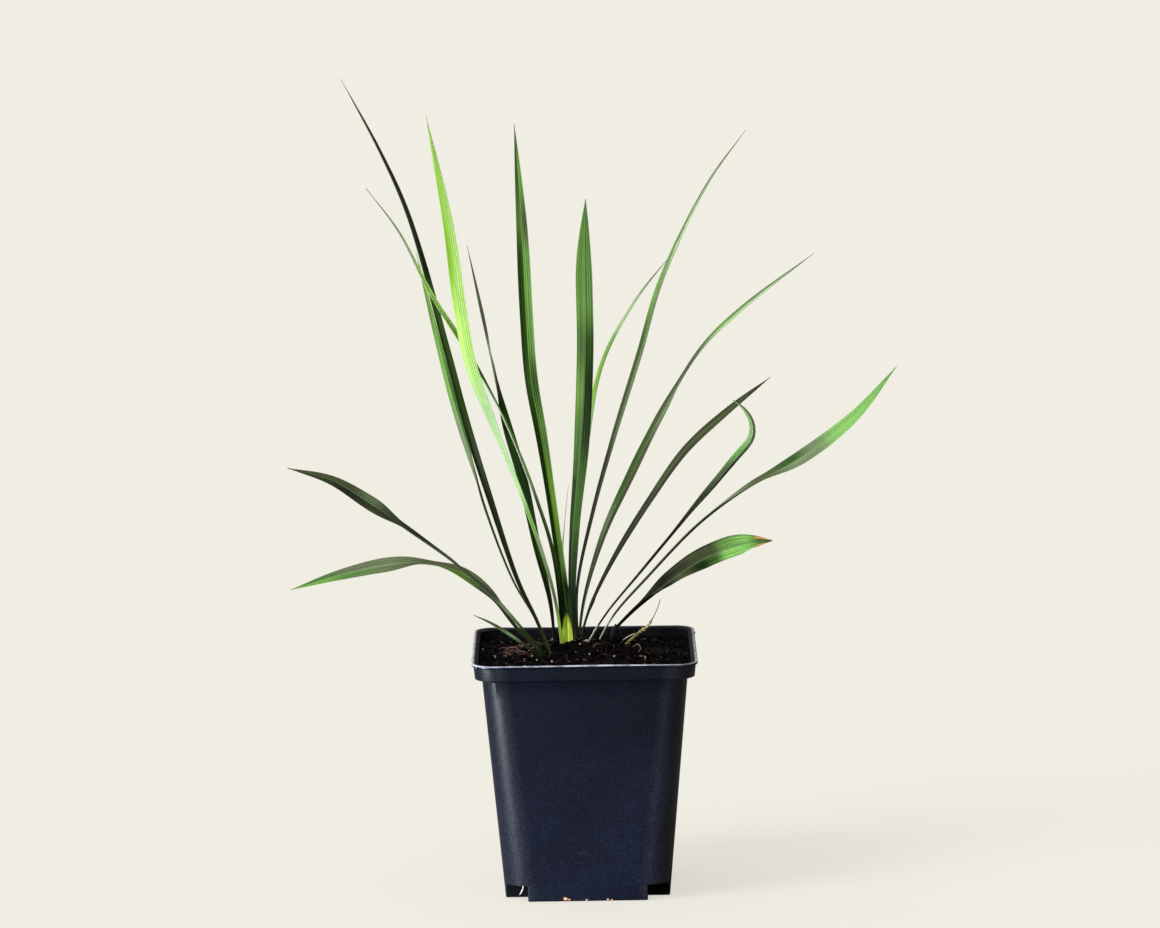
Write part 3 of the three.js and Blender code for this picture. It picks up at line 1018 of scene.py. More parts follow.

# Each leaf has its name, width, width at the base, taper, rolls, route and finish, in this order
# The colour stops paint light and shade as well as the leaves' own colours: dark stops stand for shaded
# stretches and shadow lines, pale ones for lit stretches, and two colours for the lit and the shaded half of
# a folded blade.
LEAVES: tuple[Leaf, ...] = (
    Leaf("leaf_left_tall", 5.6, 2.4, 0.34,
         ((0, -66), (0.4, -60), (0.6, -66), (0.75, -74), (1, -78)),
         ((-14, -10, 97), (-19, -10, 110), (-26.5, -9, 126.5), (-37, -7, 159), (-46.5, -4, 191),
          (-53.5, -1, 219), (-68, 6, 272.5), (-79, 9, 298.5), (-94, 14, 327)),
         LeafFinish(Slot.DARK, (
             (0, P.OLIVE, P.GREY_GREEN), (0.1, P.CHARCOAL, P.OLIVE), (0.2, P.OLIVE),
             (0.28, P.CHARCOAL, P.OLIVE), (0.36, P.CHARCOAL, P.GREY_GREEN), (0.44, P.DARK, P.MID),
             (0.54, P.DARK, P.FRESH), (0.62, P.MID, P.FRESH), (0.67, P.MID, P.CHARCOAL), (0.73, P.OLIVE),
             (1, P.OLIVE)), rib=0.05)),
    Leaf("leaf_left_lit", 4.2, 1.8, 0.4,
         ((0, 92), (0.4, 92), (0.58, 45), (1, 35)),
         ((-14, -5.5, 97), (-20, -4, 110.5), (-28.5, -1, 125.5), (-39, 6, 153), (-46, 15, 177.5),
          (-52, 23, 197.5), (-59, 35, 224.5), (-66, 48, 252.5)),
         LeafFinish(Slot.LIT, (
             (0, P.GREY_GREEN), (0.15, P.GREY_GREEN), (0.45, P.GREY_GREEN), (0.56, P.GREY_GREEN, P.DARK),
             (0.68, P.FRESH, P.DARK), (0.76, P.FRESH, P.MID), (0.86, P.MID, P.FRESH),
             (1, P.FRESH, P.LIME)), glow=0.2)),
    Leaf("leaf_left_thin", 2.4, 2.2, 0.45,
         ((0, -35), (0.35, -62), (0.52, -80), (0.7, -25), (1, -30)),
         ((-9, 3, 97), (-9.5, 1, 116), (-12.5, -1, 138), (-18, -2, 157), (-25.5, -4, 178.5),
          (-33.5, -6, 197.5), (-46.5, -8, 222), (-59, -10, 243), (-71.5, -12, 268.5), (-84, -14, 286)),
         LeafFinish(Slot.LIME, (
             (0, P.DEEP), (0.12, P.BLACK_GREEN), (0.2, P.MID, P.FRESH), (0.3, P.GREY_GREEN, P.PALE),
             (0.36, P.WHITISH, P.PALE_LIME), (0.48, P.WHITISH, P.LIME), (0.55, P.PALE, P.GREY_GREEN),
             (0.65, P.LIME, P.APPLE), (0.76, P.PALE_LIME), (0.85, P.WHITISH, P.PALE_LIME),
             (1, P.GREY_GREEN, P.PALE)), glow=0.5)),
    Leaf("leaf_lime", 5.4, 1.9, 0.32,
         ((0, -122), (0.35, -112), (0.6, -158), (1, -165)),
         ((-9, -4, 97), (-11.5, -6, 117.5), (-16.5, -9, 137.5), (-24.5, -13, 162), (-35, -20, 191),
          (-43.5, -27, 216.5), (-47.5, -34, 242), (-51, -43, 274), (-58.5, -58, 318)),
         LeafFinish(Slot.LIME, (
             (0, P.WHITISH, P.PALE_LIME), (0.05, P.PALE, P.LIME), (0.11, P.DARK, P.OLIVE),
             (0.2, P.MID, P.GREY_GREEN), (0.26, P.PALE, P.FRESH), (0.32, P.WHITISH, P.PALE),
             (0.45, P.PALE), (0.6, P.PALE_LIME), (0.74, P.APPLE, P.PALE_LIME),
             (0.88, P.LIME, P.PALE_LIME), (1, P.PALE_LIME)), streaks=0.3, rib=0.4, rib_color=P.APPLE,
             glow=0.3)),
    Leaf("leaf_left_inner", 4.4, 1.8, 0.38,
         ((0, -66), (0.3, -30), (0.52, -25), (0.7, -86), (0.85, -120), (1, -120)),
         ((-12, 1, 97), (-13.5, 3, 115), (-18.5, 5, 137.5), (-24, 10, 164.5), (-31, 15, 190),
          (-36, 20, 214), (-45, 30, 257.5)),
         LeafFinish(Slot.DARK, (
             (0, P.NEAR_BLACK), (0.15, P.CHARCOAL, P.DEEP), (0.28, P.DEEP), (0.4, P.DEEP, P.BLACK_GREEN),
             (0.52, P.DEEP, P.BLACK_GREEN), (0.6, P.BLACK_GREEN, P.DEEP), (0.66, P.OLIVE),
             (0.74, P.OLIVE, P.GREY_GREEN), (0.79, P.CHARCOAL), (1, P.CHARCOAL, P.OLIVE)), rib=0.05)),
    Leaf("leaf_centre_tall", 5.4, 3.4, 0.3,
         ((0, -14), (0.3, -42), (0.6, -12), (1, -8)),
         ((-5.6, 7.5, 97), (-7.4, 9, 115), (-10.2, 11, 137.5), (-16, 20, 179), (-20, 26, 203.5),
          (-21.5, 33, 226.5), (-23, 46, 264), (-25.5, 62, 303.5)),
         LeafFinish(Slot.GREEN, (
             (0, P.BLACK_GREEN, P.DEEP), (0.13, P.BLACK_GREEN), (0.18, P.DEEP, P.FRESH),
             (0.29, P.DEEP, P.LIME), (0.42, P.DEEP, P.FRESH), (0.51, P.DARK), (0.59, P.DEEP, P.FRESH),
             (0.74, P.DEEP, P.FRESH), (0.81, P.MID, P.OLIVE), (0.9, P.DARK, P.FRESH), (1, P.OLIVE)),
             streaks=0.6, rib=0.3, rib_color=P.LIME)),
    Leaf("leaf_centre_broad", 6.6, 2.8, 0.2,
         ((0, 215), (0.3, 222), (0.6, 186), (1, 180)),
         ((-4.2, 3.5, 97), (-4.8, 2, 116.5), (-3.5, -5, 146), (0, -18, 183.5), (2, -35, 222.5),
          (2, -56, 261), (3, -72, 286.5)),
         LeafFinish(Slot.GREEN, (
             (0, P.APPLE, P.DARK), (0.04, P.MID, P.OLIVE), (0.085, P.BLACK_GREEN, P.NEAR_BLACK),
             (0.2, P.NEAR_BLACK, P.BLACK_GREEN), (0.28, P.BLACK_GREEN, P.DEEP),
             (0.36, P.BLACK_GREEN, P.DEEP), (0.38, P.DEEP), (0.46, P.DARK, P.BLACK_GREEN),
             (0.57, P.MID, P.BLACK_GREEN), (0.66, P.DARK, P.DEEP), (0.76, P.MID, P.FRESH),
             (1, P.MID, P.FRESH)), streaks=0.5, rib=0.08)),
    Leaf("leaf_right_lime", 3.4, 1.7, 0.45,
         ((0, 65), (0.45, 35), (0.65, 62), (1, 62)),
         ((-5.5, 14, 97), (-4, 16, 118), (-1.2, 24, 153.5), (2.4, 33, 179), (9.5, 44, 208),
          (23, 56, 231), (37.5, 66, 248)),
         LeafFinish(Slot.LIME, (
             (0, P.DEEP, P.DARK), (0.2, P.CHARCOAL), (0.36, P.DEEP, P.OLIVE), (0.48, P.DEEP, P.BRIGHT),
             (0.56, P.LIME, P.BRIGHT), (0.66, P.APPLE, P.FRESH), (0.74, P.BRIGHT, P.FRESH), (0.8, P.PALE),
             (1, P.GREY_GREEN)), glow=0.25)),
    Leaf("leaf_right_tall", 4, 1.8, 0.42,
         ((0, 64), (0.3, 66), (0.55, 58), (1, 68)),
         ((-2.5, 9.5, 97), (-2.4, 7.5, 120.5), (4, 4, 150.5), (13, -1, 182.5), (24, -6, 217.5),
          (32.5, -12, 246.5), (51.5, -20, 286.5), (66.5, -26, 308)),
         LeafFinish(Slot.GREEN, (
             (0, P.BLACK_GREEN, P.NEAR_BLACK), (0.12, P.NEAR_BLACK, P.CHARCOAL), (0.22, P.CHARCOAL),
             (0.34, P.CHARCOAL, P.OLIVE), (0.43, P.OLIVE, P.GREY_GREEN), (0.5, P.OLIVE, P.GREY_GREEN),
             (0.58, P.DARK, P.GREY_GREEN), (0.66, P.FRESH, P.GREY_GREEN), (0.8, P.GREY_GREEN, P.PALE),
             (1, P.GREY_GREEN)), glow=0.15),
         knots=((0.76, 0.35),)),
    Leaf("leaf_right_long", 4.3, 1.8, 0.3,
         ((0, 66), (0.4, 38), (0.52, 50), (0.64, 84), (0.8, 68), (1, 70)),
         ((-2.2, 13, 97), (0.2, 14, 114), (8.6, 16, 141), (18.3, 18, 161.5), (33, 22, 189.5),
          (48.5, 26, 214), (66, 29, 230.5), (95.5, 34, 252)),
         LeafFinish(Slot.GREEN, (
             (0, P.NEAR_BLACK), (0.12, P.NEAR_BLACK, P.OLIVE), (0.2, P.OLIVE),
             (0.28, P.GREY_GREEN, P.OLIVE), (0.36, P.DARK, P.OLIVE), (0.45, P.DARK, P.OLIVE),
             (0.55, P.OLIVE, P.GREY_GREEN), (0.66, P.OLIVE, P.GREY_GREEN), (0.76, P.FRESH, P.PALE),
             (0.86, P.GREY_GREEN, P.PALE), (1, P.GREY_GREEN)), glow=0.2)),
    Leaf("leaf_right_dark", 4, 1.8, 0.28,
         ((0, 70), (0.4, 60), (0.7, 45), (1, 35)),
         ((-1.6, 17.5, 97), (3, 20, 111), (12.8, 26, 129.5), (28, 38, 151.5), (42.5, 50, 169.5),
          (60, 63, 183.5), (78.5, 78, 195.5)),
         LeafFinish(Slot.OLIVE, (
             (0, P.NEAR_BLACK), (0.3, P.CHARCOAL, P.NEAR_BLACK), (0.45, P.CHARCOAL),
             (0.55, P.OLIVE, P.CHARCOAL), (0.8, P.OLIVE), (1, P.OLIVE, P.CHARCOAL)), roughness=0.55),
         knots=((0.14, 0.45),)),
    Leaf("leaf_right_hooked", 4.4, 1.8, 0.25,
         ((0, 100), (0.45, 104), (0.7, 134), (0.86, 150), (1, 160)),
         ((0.2, -1, 97), (8.6, -3, 111), (24, -9, 130.5), (43.5, -17, 155), (60.5, -25, 176.5),
          (67.5, -28, 186), (67.5, -30, 192.5), (64.5, -32, 198), (60, -34, 202)),
         LeafFinish(Slot.LIT, (
             (0, P.WHITISH), (0.1, P.WHITISH, P.PALE), (0.13, P.NEAR_BLACK), (0.24, P.OLIVE),
             (0.42, P.CHARCOAL), (0.62, P.OLIVE), (0.73, P.GREY_GREEN, P.OLIVE),
             (0.8, P.BRIGHT, P.GREY_GREEN), (0.88, P.PALE), (1, P.PALE, P.GREY_GREEN)))),
    Leaf("leaf_right_reaching", 5.8, 1.6, 0.27,
         ((0, 84), (0.45, 95), (0.58, 78), (0.72, 20), (1, 14)),
         ((5, 5, 97), (11.6, 4, 109), (26, 2, 125.5), (47, -1, 147.5), (67.5, -4, 163), (88, -7, 174.5),
          (109, -10, 191), (126, -14, 211.5)),
         LeafFinish(Slot.LIT, (
             (0, P.WHITISH), (0.09, P.WHITISH, P.PALE), (0.12, P.CHARCOAL), (0.35, P.OLIVE),
             (0.5, P.GREY_GREEN, P.CHARCOAL), (0.58, P.OLIVE), (0.67, P.DEEP, P.GREY_GREEN),
             (0.73, P.GREY_GREEN), (0.8, P.BRIGHT), (1, P.BRIGHT)), glow=0.2)),
    Leaf("leaf_right_pleated", 9, 1.7, 0.2,
         ((0, 96), (0.3, 95), (0.5, 50), (0.7, 24), (1, 18)),
         ((7.4, 10, 97), (16.2, 12, 106.5), (26.5, 13.5, 115.5), (40.5, 16, 125.5), (53.5, 18, 132),
          (65, 19, 135.5), (77, 20, 136.5)),
         LeafFinish(Slot.GREEN, (
             (0, P.PALE, P.GREY_GREEN), (0.1, P.NEAR_BLACK, P.CHARCOAL), (0.46, P.NEAR_BLACK),
             (0.54, P.CHARCOAL, P.OLIVE), (0.65, P.OLIVE, P.BLACK_GREEN), (0.72, P.OLIVE, P.DARK),
             (0.78, P.FRESH, P.BRIGHT), (0.88, P.BRIGHT), (0.94, P.MID, P.FRESH),
             (1, P.OLIVE, P.CHARCOAL)), streaks=0.6, rib=0.15, scorch=0.96),
         fold=0.45, widest=0.7, pleats=3, pleat_depth=0.28, bites=((0.87, 0.99, 1, 0.3),)),
    Leaf("leaf_left_low_dark", 6.2, 2.2, 0.32,
         ((0, -112), (0.3, -108), (0.45, -95), (0.6, -84), (0.75, -22), (1, -14)),
         ((-16, -13.5, 97), (-26, -16, 109.5), (-34.5, -19, 120), (-50.5, -26, 136.5), (-67.5, -33, 150.5),
          (-85.5, -42, 165), (-99, -49, 174.5), (-115.5, -56, 180.5)),
         LeafFinish(Slot.OLIVE, (
             (0, P.CHARCOAL, P.NEAR_BLACK), (0.12, P.DEEP), (0.2, P.OLIVE, P.GREY_GREEN),
             (0.28, P.OLIVE, P.CHARCOAL), (0.4, P.GREY_GREEN, P.CHARCOAL), (0.55, P.CHARCOAL),
             (0.7, P.OLIVE, P.GREY_GREEN), (0.8, P.CHARCOAL, P.OLIVE), (1, P.OLIVE)), roughness=0.55)),
    Leaf("leaf_left_low_green", 6, 1.8, 0.36,
         ((0, -84), (0.22, -70), (0.34, -42), (0.5, -86), (0.68, -20), (1, -12)),
         ((-18, -8.5, 97), (-27.5, -6, 107), (-38, 0, 120), (-50.5, 5, 128.5), (-64, 11, 131),
          (-78.5, 17, 129.5), (-99, 26, 124), (-119.5, 36, 116.5)),
         LeafFinish(Slot.LIT, (
             (0, P.CHARCOAL, P.OLIVE), (0.12, P.NEAR_BLACK, P.OLIVE), (0.28, P.OLIVE),
             (0.42, P.MID, P.OLIVE), (0.5, P.OLIVE), (0.64, P.OLIVE), (0.78, P.DARK, P.OLIVE),
             (0.88, P.MID, P.DARK), (1, P.FRESH, P.MID)), rib=0.12)),
    Leaf("leaf_left_short", 2.4, 1.6, 0.5,
         ((0, -120), (1, -140)),
         ((-18, -18, 97), (-29.5, -22, 106.5), (-37, -25, 112), (-44, -28, 116)),
         LeafFinish(Slot.DARK, (
             (0, P.NEAR_BLACK), (0.4, P.NEAR_BLACK, P.CHARCOAL), (0.55, P.CHARCOAL, P.GREY_GREEN),
             (0.7, P.GREY_GREEN, P.OLIVE), (1, P.OLIVE)))),
    Leaf("leaf_spear", 1.2, 1, 0.6,
         ((0, 0), (1, 0)),
         ((-8.5, 15, 97), (-8.5, 18, 130), (-7, 20, 148), (-5.5, 22, 160)),
         LeafFinish(Slot.DARK, (
             (0, P.DEEP), (0.38, P.MID), (0.5, P.APPLE), (0.6, P.PALE), (1, P.WHITISH)), rib=0),
         slim=0.6),
    # The sheath's dark midrib is painted shade in the crease of its fold.
    Leaf("basal_sheath", 3.4, 3, 0.6,
         ((0, -5), (1, -5)),
         ((-7, 0.2, 97), (-7, -0.3, 104), (-7, -0.5, 113)),
         LeafFinish(Slot.SHEATH, (
             (0, P.LEMON), (0.58, P.LEMON), (0.68, P.YELLOW_GREEN, P.LEMON), (0.82, P.YELLOW_GREEN),
             (0.93, P.MID), (1, P.BLACK_GREEN)), streaks=0.4, rib=0.55, rib_color=P.DARK, glow=0.05),
         fold=0.5, pleats=2, pleat_depth=0.2, slim=1.4),
)


# Pot


@dataclass
class Pot:
    """Square nursery pot: tapered body, rim band, rolled lip, notched foot corners and drain holes.

    Attributes:
        hollow: how far the middle of each side is drawn in.
        rim_sway: how far the rim wanders up and down.
        inside_rows: rows of faces below the lip's inner edge, which take the stained finish.
        inside_foot: height at which the inner wall ends in the soil.
        foot_levels: heights of the rings of the notched foot.
        foot_insets: how far the underside's two rings are drawn in, the first one at its edge.
    """

    height: float = 98.0
    lip_width: float = 90.0
    lip_height: float = 1.2
    band_top_width: float = 88.6
    band_foot_width: float = 87.6
    band_height: float = 6.5
    body_top_width: float = 82.0
    base_width: float = 66.0
    wall: float = 1.3
    base_corner: float = 10.0
    rim_corner: float = 8.0
    corner_steps: int = 12
    side_steps: int = 24
    notch_inset: float = 24.0
    notch_height: float = 6.5
    drain_radius: float = 2.5
    drain_offset: float = 27.6
    drain_steps: int = 24
    hollow: float = 0.35
    rim_sway: float = 0.1
    body_rows: int = 12
    inside_rows: int = 4
    inside_foot: float = 80.0
    foot_levels: tuple[float, ...] = (0.5, 0.9, 3.6)
    foot_insets: tuple[float, float] = (0.15, 0.4)
    foot_corner: float = 0.7

    def ring(self, width: float, corner: float, z: float, hollow: float = 0.0,
             sway: float = 0.0) -> list[Vector]:
        """Makes a level ring round a square with rounded corners.

        Args:
            width: distance between opposite sides.
            corner: radius of the corners.
            z: height of the ring.
            hollow: how far the middle of each side is drawn in.
            sway: how far the ring wanders up and down.

        Returns:
            Points of the ring, counterclockwise seen from above.
        """
        points, reach = [], width / 2 - corner
        for side in range(4):
            turn = side * math.pi / 2
            cos, sin = round(math.cos(turn)), round(math.sin(turn))
            for step in range(self.corner_steps + 1):
                angle = turn + step / self.corner_steps * math.pi / 2
                points.append(Vector((reach * (cos - sin) + corner * math.cos(angle),
                                      reach * (sin + cos) + corner * math.sin(angle), z)))
            start = points[-1]
            for step in range(1, self.side_steps):
                share = step / self.side_steps
                inward = hollow * math.sin(math.pi * share) ** 2
                points.append(start - Vector((cos, sin, 0)) * (2 * reach * share)
                              - Vector((-sin, cos, 0)) * inward)
        for point in points:
            point.z += sway * (math.sin(0.11 * point.x + 0.4) + math.sin(0.09 * point.y + 0.07 * point.x))
        return points

    def outside(self, z: float) -> tuple[float, float]:
        """Finds the size of the tapered body.

        Args:
            z: a height.

        Returns:
            Its width and its corner radius there.
        """
        share = z / (self.height - self.band_height)
        return (self.base_width + (self.body_top_width - self.base_width) * share,
                self.base_corner + (self.rim_corner - self.base_corner) * share)

    def _body_rings(self) -> list[list[Vector]]:
        """Makes the rings up the outside, over the lip and down the inside.

        Returns:
            The rings in that order.
        """
        band_foot = self.height - self.band_height
        rings = []
        for step in range(self.body_rows + 1):
            z = self.notch_height + (band_foot - 0.9 - self.notch_height) * step / self.body_rows
            width, corner = self.outside(z)
            hollow = self.hollow * math.sin(math.pi * step / self.body_rows)
            rings.append(self.ring(width, corner, z, hollow))
        profile = [(self.body_top_width + 0.4, band_foot - 0.5),
                   (self.body_top_width + 1.6, band_foot - 0.25),
                   (self.band_foot_width - 0.9, band_foot), (self.band_foot_width - 0.2, band_foot + 0.2),
                   (self.band_foot_width, band_foot + 0.6), (self.band_top_width - 0.3, self.height - 2.2),
                   (self.band_top_width - 0.1, self.height - self.lip_height - 0.2),
                   (self.lip_width - 0.5, self.height - self.lip_height + 0.05),
                   (self.lip_width, self.height - self.lip_height + 0.35),
                   (self.lip_width, self.height - 0.5), (self.lip_width - 0.35, self.height - 0.12),
                   (self.lip_width - 0.9, self.height), (self.lip_width - 1.7, self.height),
                   (self.lip_width - 2.4, self.height - 0.25)]
        inner = self.band_foot_width - 2 * self.wall
        deep = self.outside(self.inside_foot)[0] - 2 * self.wall
        profile += [(inner, self.height - 0.8), (inner, band_foot + 1.4), (inner - 5.4, band_foot - 0.6),
                    (deep, self.inside_foot)]
        for width, z in profile:
            sway = self.rim_sway * smoothstep(z, band_foot, self.height)
            corner = self.rim_corner - (88 - min(width, 88)) * 0.05
            rings.append(self.ring(width, corner, z, sway=sway))
        return rings

    def _notched(self, z: float) -> list[Vector]:
        """Outlines the foot with its four corners cut out and their edges rounded.

        Args:
            z: height of the outline.

        Returns:
            Its points.
        """
        half, cut = self.outside(z)[0] / 2, self.notch_inset
        quarter = [Vector((half, -cut, z)), Vector((half, cut, z)), Vector((cut, cut, z))]
        points = []
        for side in range(4):
            turn = Matrix.Rotation(side * math.pi / 2, 3, "Z")
            points.extend(turn @ point for point in quarter)
        return self._rounded(points, self.foot_corner, 4)

    @staticmethod
    def _rounded(points: list[Vector], radius: float, steps: int) -> list[Vector]:
        """Rounds the corners of a closed outline.

        Args:
            points: its corners.
            radius: how far from a corner the rounding starts.
            steps: number of steps round a corner.

        Returns:
            Points of the rounded outline.
        """
        found = []
        for before, point, after in zip(points[-1:] + points[:-1], points, points[1:] + points[:1]):
            start = point + (before - point).normalized() * radius
            end = point + (after - point).normalized() * radius
            for step in range(steps + 1):
                t = step / steps
                found.append(start * (1 - t) ** 2 + point * (2 * t * (1 - t)) + end * t ** 2)
        return found

    def _drain(self, sign_x: int, sign_y: int, radius: float, z: float) -> list[Vector]:
        """Makes a ring of a drain hole.

        Args:
            sign_x: side of the pot along X, -1 or 1.
            sign_y: side of the pot along Y, -1 or 1.
            radius: radius of the ring.
            z: height of the ring.

        Returns:
            Its points.
        """
        x, y = sign_x * self.drain_offset, sign_y * self.drain_offset
        angles = [2 * math.pi * k / self.drain_steps for k in range(self.drain_steps)]
        return [Vector((x + radius * math.cos(a), y + radius * math.sin(a), z)) for a in angles]

    def draft(self) -> MeshDraft:
        """Makes the pot's mesh.

        Returns:
            The mesh, with indices 0 for the plastic, 1 for the recesses, whose finish paints their shade,
            and 2 for the stained inside.
        """
        draft = MeshDraft()
        rings = self._body_rings()
        draft.add_rings(rings)
        draft.slot_from(len(draft.faces) - self.inside_rows * len(rings[0]), 2)
        foot = len(draft.faces)
        draft.add_rings([self._notched(z) for z in (*self.foot_levels, self.notch_height)])
        # Faces inside the notches take the recess finish, which paints their shade.
        recess_from = self.outside(0)[0] / 2 - 0.3
        for face in range(foot, len(draft.faces)):
            middle = sum((draft.points[k] for k in draft.faces[face]), Vector()) / len(draft.faces[face])
            draft.slots[face] = int(max(abs(middle.x), abs(middle.y)) < recess_from)
        edge, floor = (self._shrunk(self._notched(0), inset) for inset in self.foot_insets)
        draft.add_rings([floor, edge, self._notched(self.foot_levels[0])])
        draft.add_flat([floor], [1], facing_up=False)
        shelf = len(draft.faces)
        shelf_holes = []
        for sign_x in (-1, 1):
            for sign_y in (-1, 1):
                mouth = self._drain(sign_x, sign_y, self.drain_radius, self.notch_height)
                shelf_holes.append(mouth)
                deep = self._drain(sign_x, sign_y, self.drain_radius - 0.15, self.notch_height + 1.3)
                draft.add_rings([deep, mouth])
        draft.add_flat([rings[0], self._notched(self.notch_height), *shelf_holes], [1], facing_up=False)
        draft.slot_from(shelf, 1)
        return draft

    @staticmethod
    def _shrunk(points: list[Vector], inset: float) -> list[Vector]:
        """Draws an outline in towards the middle.

        Args:
            points: its points.
            inset: how far each moves along X and Y.

        Returns:
            The moved points.
        """
        return [Vector((p.x - math.copysign(min(inset, abs(p.x)), p.x),
                        p.y - math.copysign(min(inset, abs(p.y)), p.y), p.z)) for p in points]

    def burrs(self) -> MeshDraft:
        """Makes small moulding burrs on the rim.

        Returns:
            The mesh of them all.
        """
        draft = MeshDraft()
        half = self.lip_width / 2
        places = ((-half + 2.2, -half + 2.0, 97.1, 0.75), (half - 0.1, 34, 96.6, 0.6),
                  (half - 0.2, 25.5, 97.0, 0.35), (-half + 0.1, -24, 97.2, 0.4))
        for x, y, z, size in places:
            rings = []
            for step in range(1, 6):
                angle = math.pi * step / 6
                rings.append([Vector((x + size * math.sin(angle) * math.cos(k * math.pi / 5),
                                      y + 1.3 * size * math.sin(angle) * math.sin(k * math.pi / 5),
                                      z - size * math.cos(angle))) for k in range(10)])
            draft.add_rings(rings, cap_start=True, cap_end=True)
        return draft

    def dress(self, finish: "PotPlastic", effects: Effects) -> None:
        """Makes the finished pot and its burrs.

        Args:
            finish: the plastic.
            effects: the shared node groups.
        """
        plastic = finish.material(effects, self)
        materials = [plastic, finish.painted_shade_recess(effects), finish.stained(effects)]
        seat(self.draft().build("nursery_pot", materials, smooth=40), Slot.POT, "pot")
        seat(self.burrs().build("rim_burrs", [plastic]), Slot.POT)


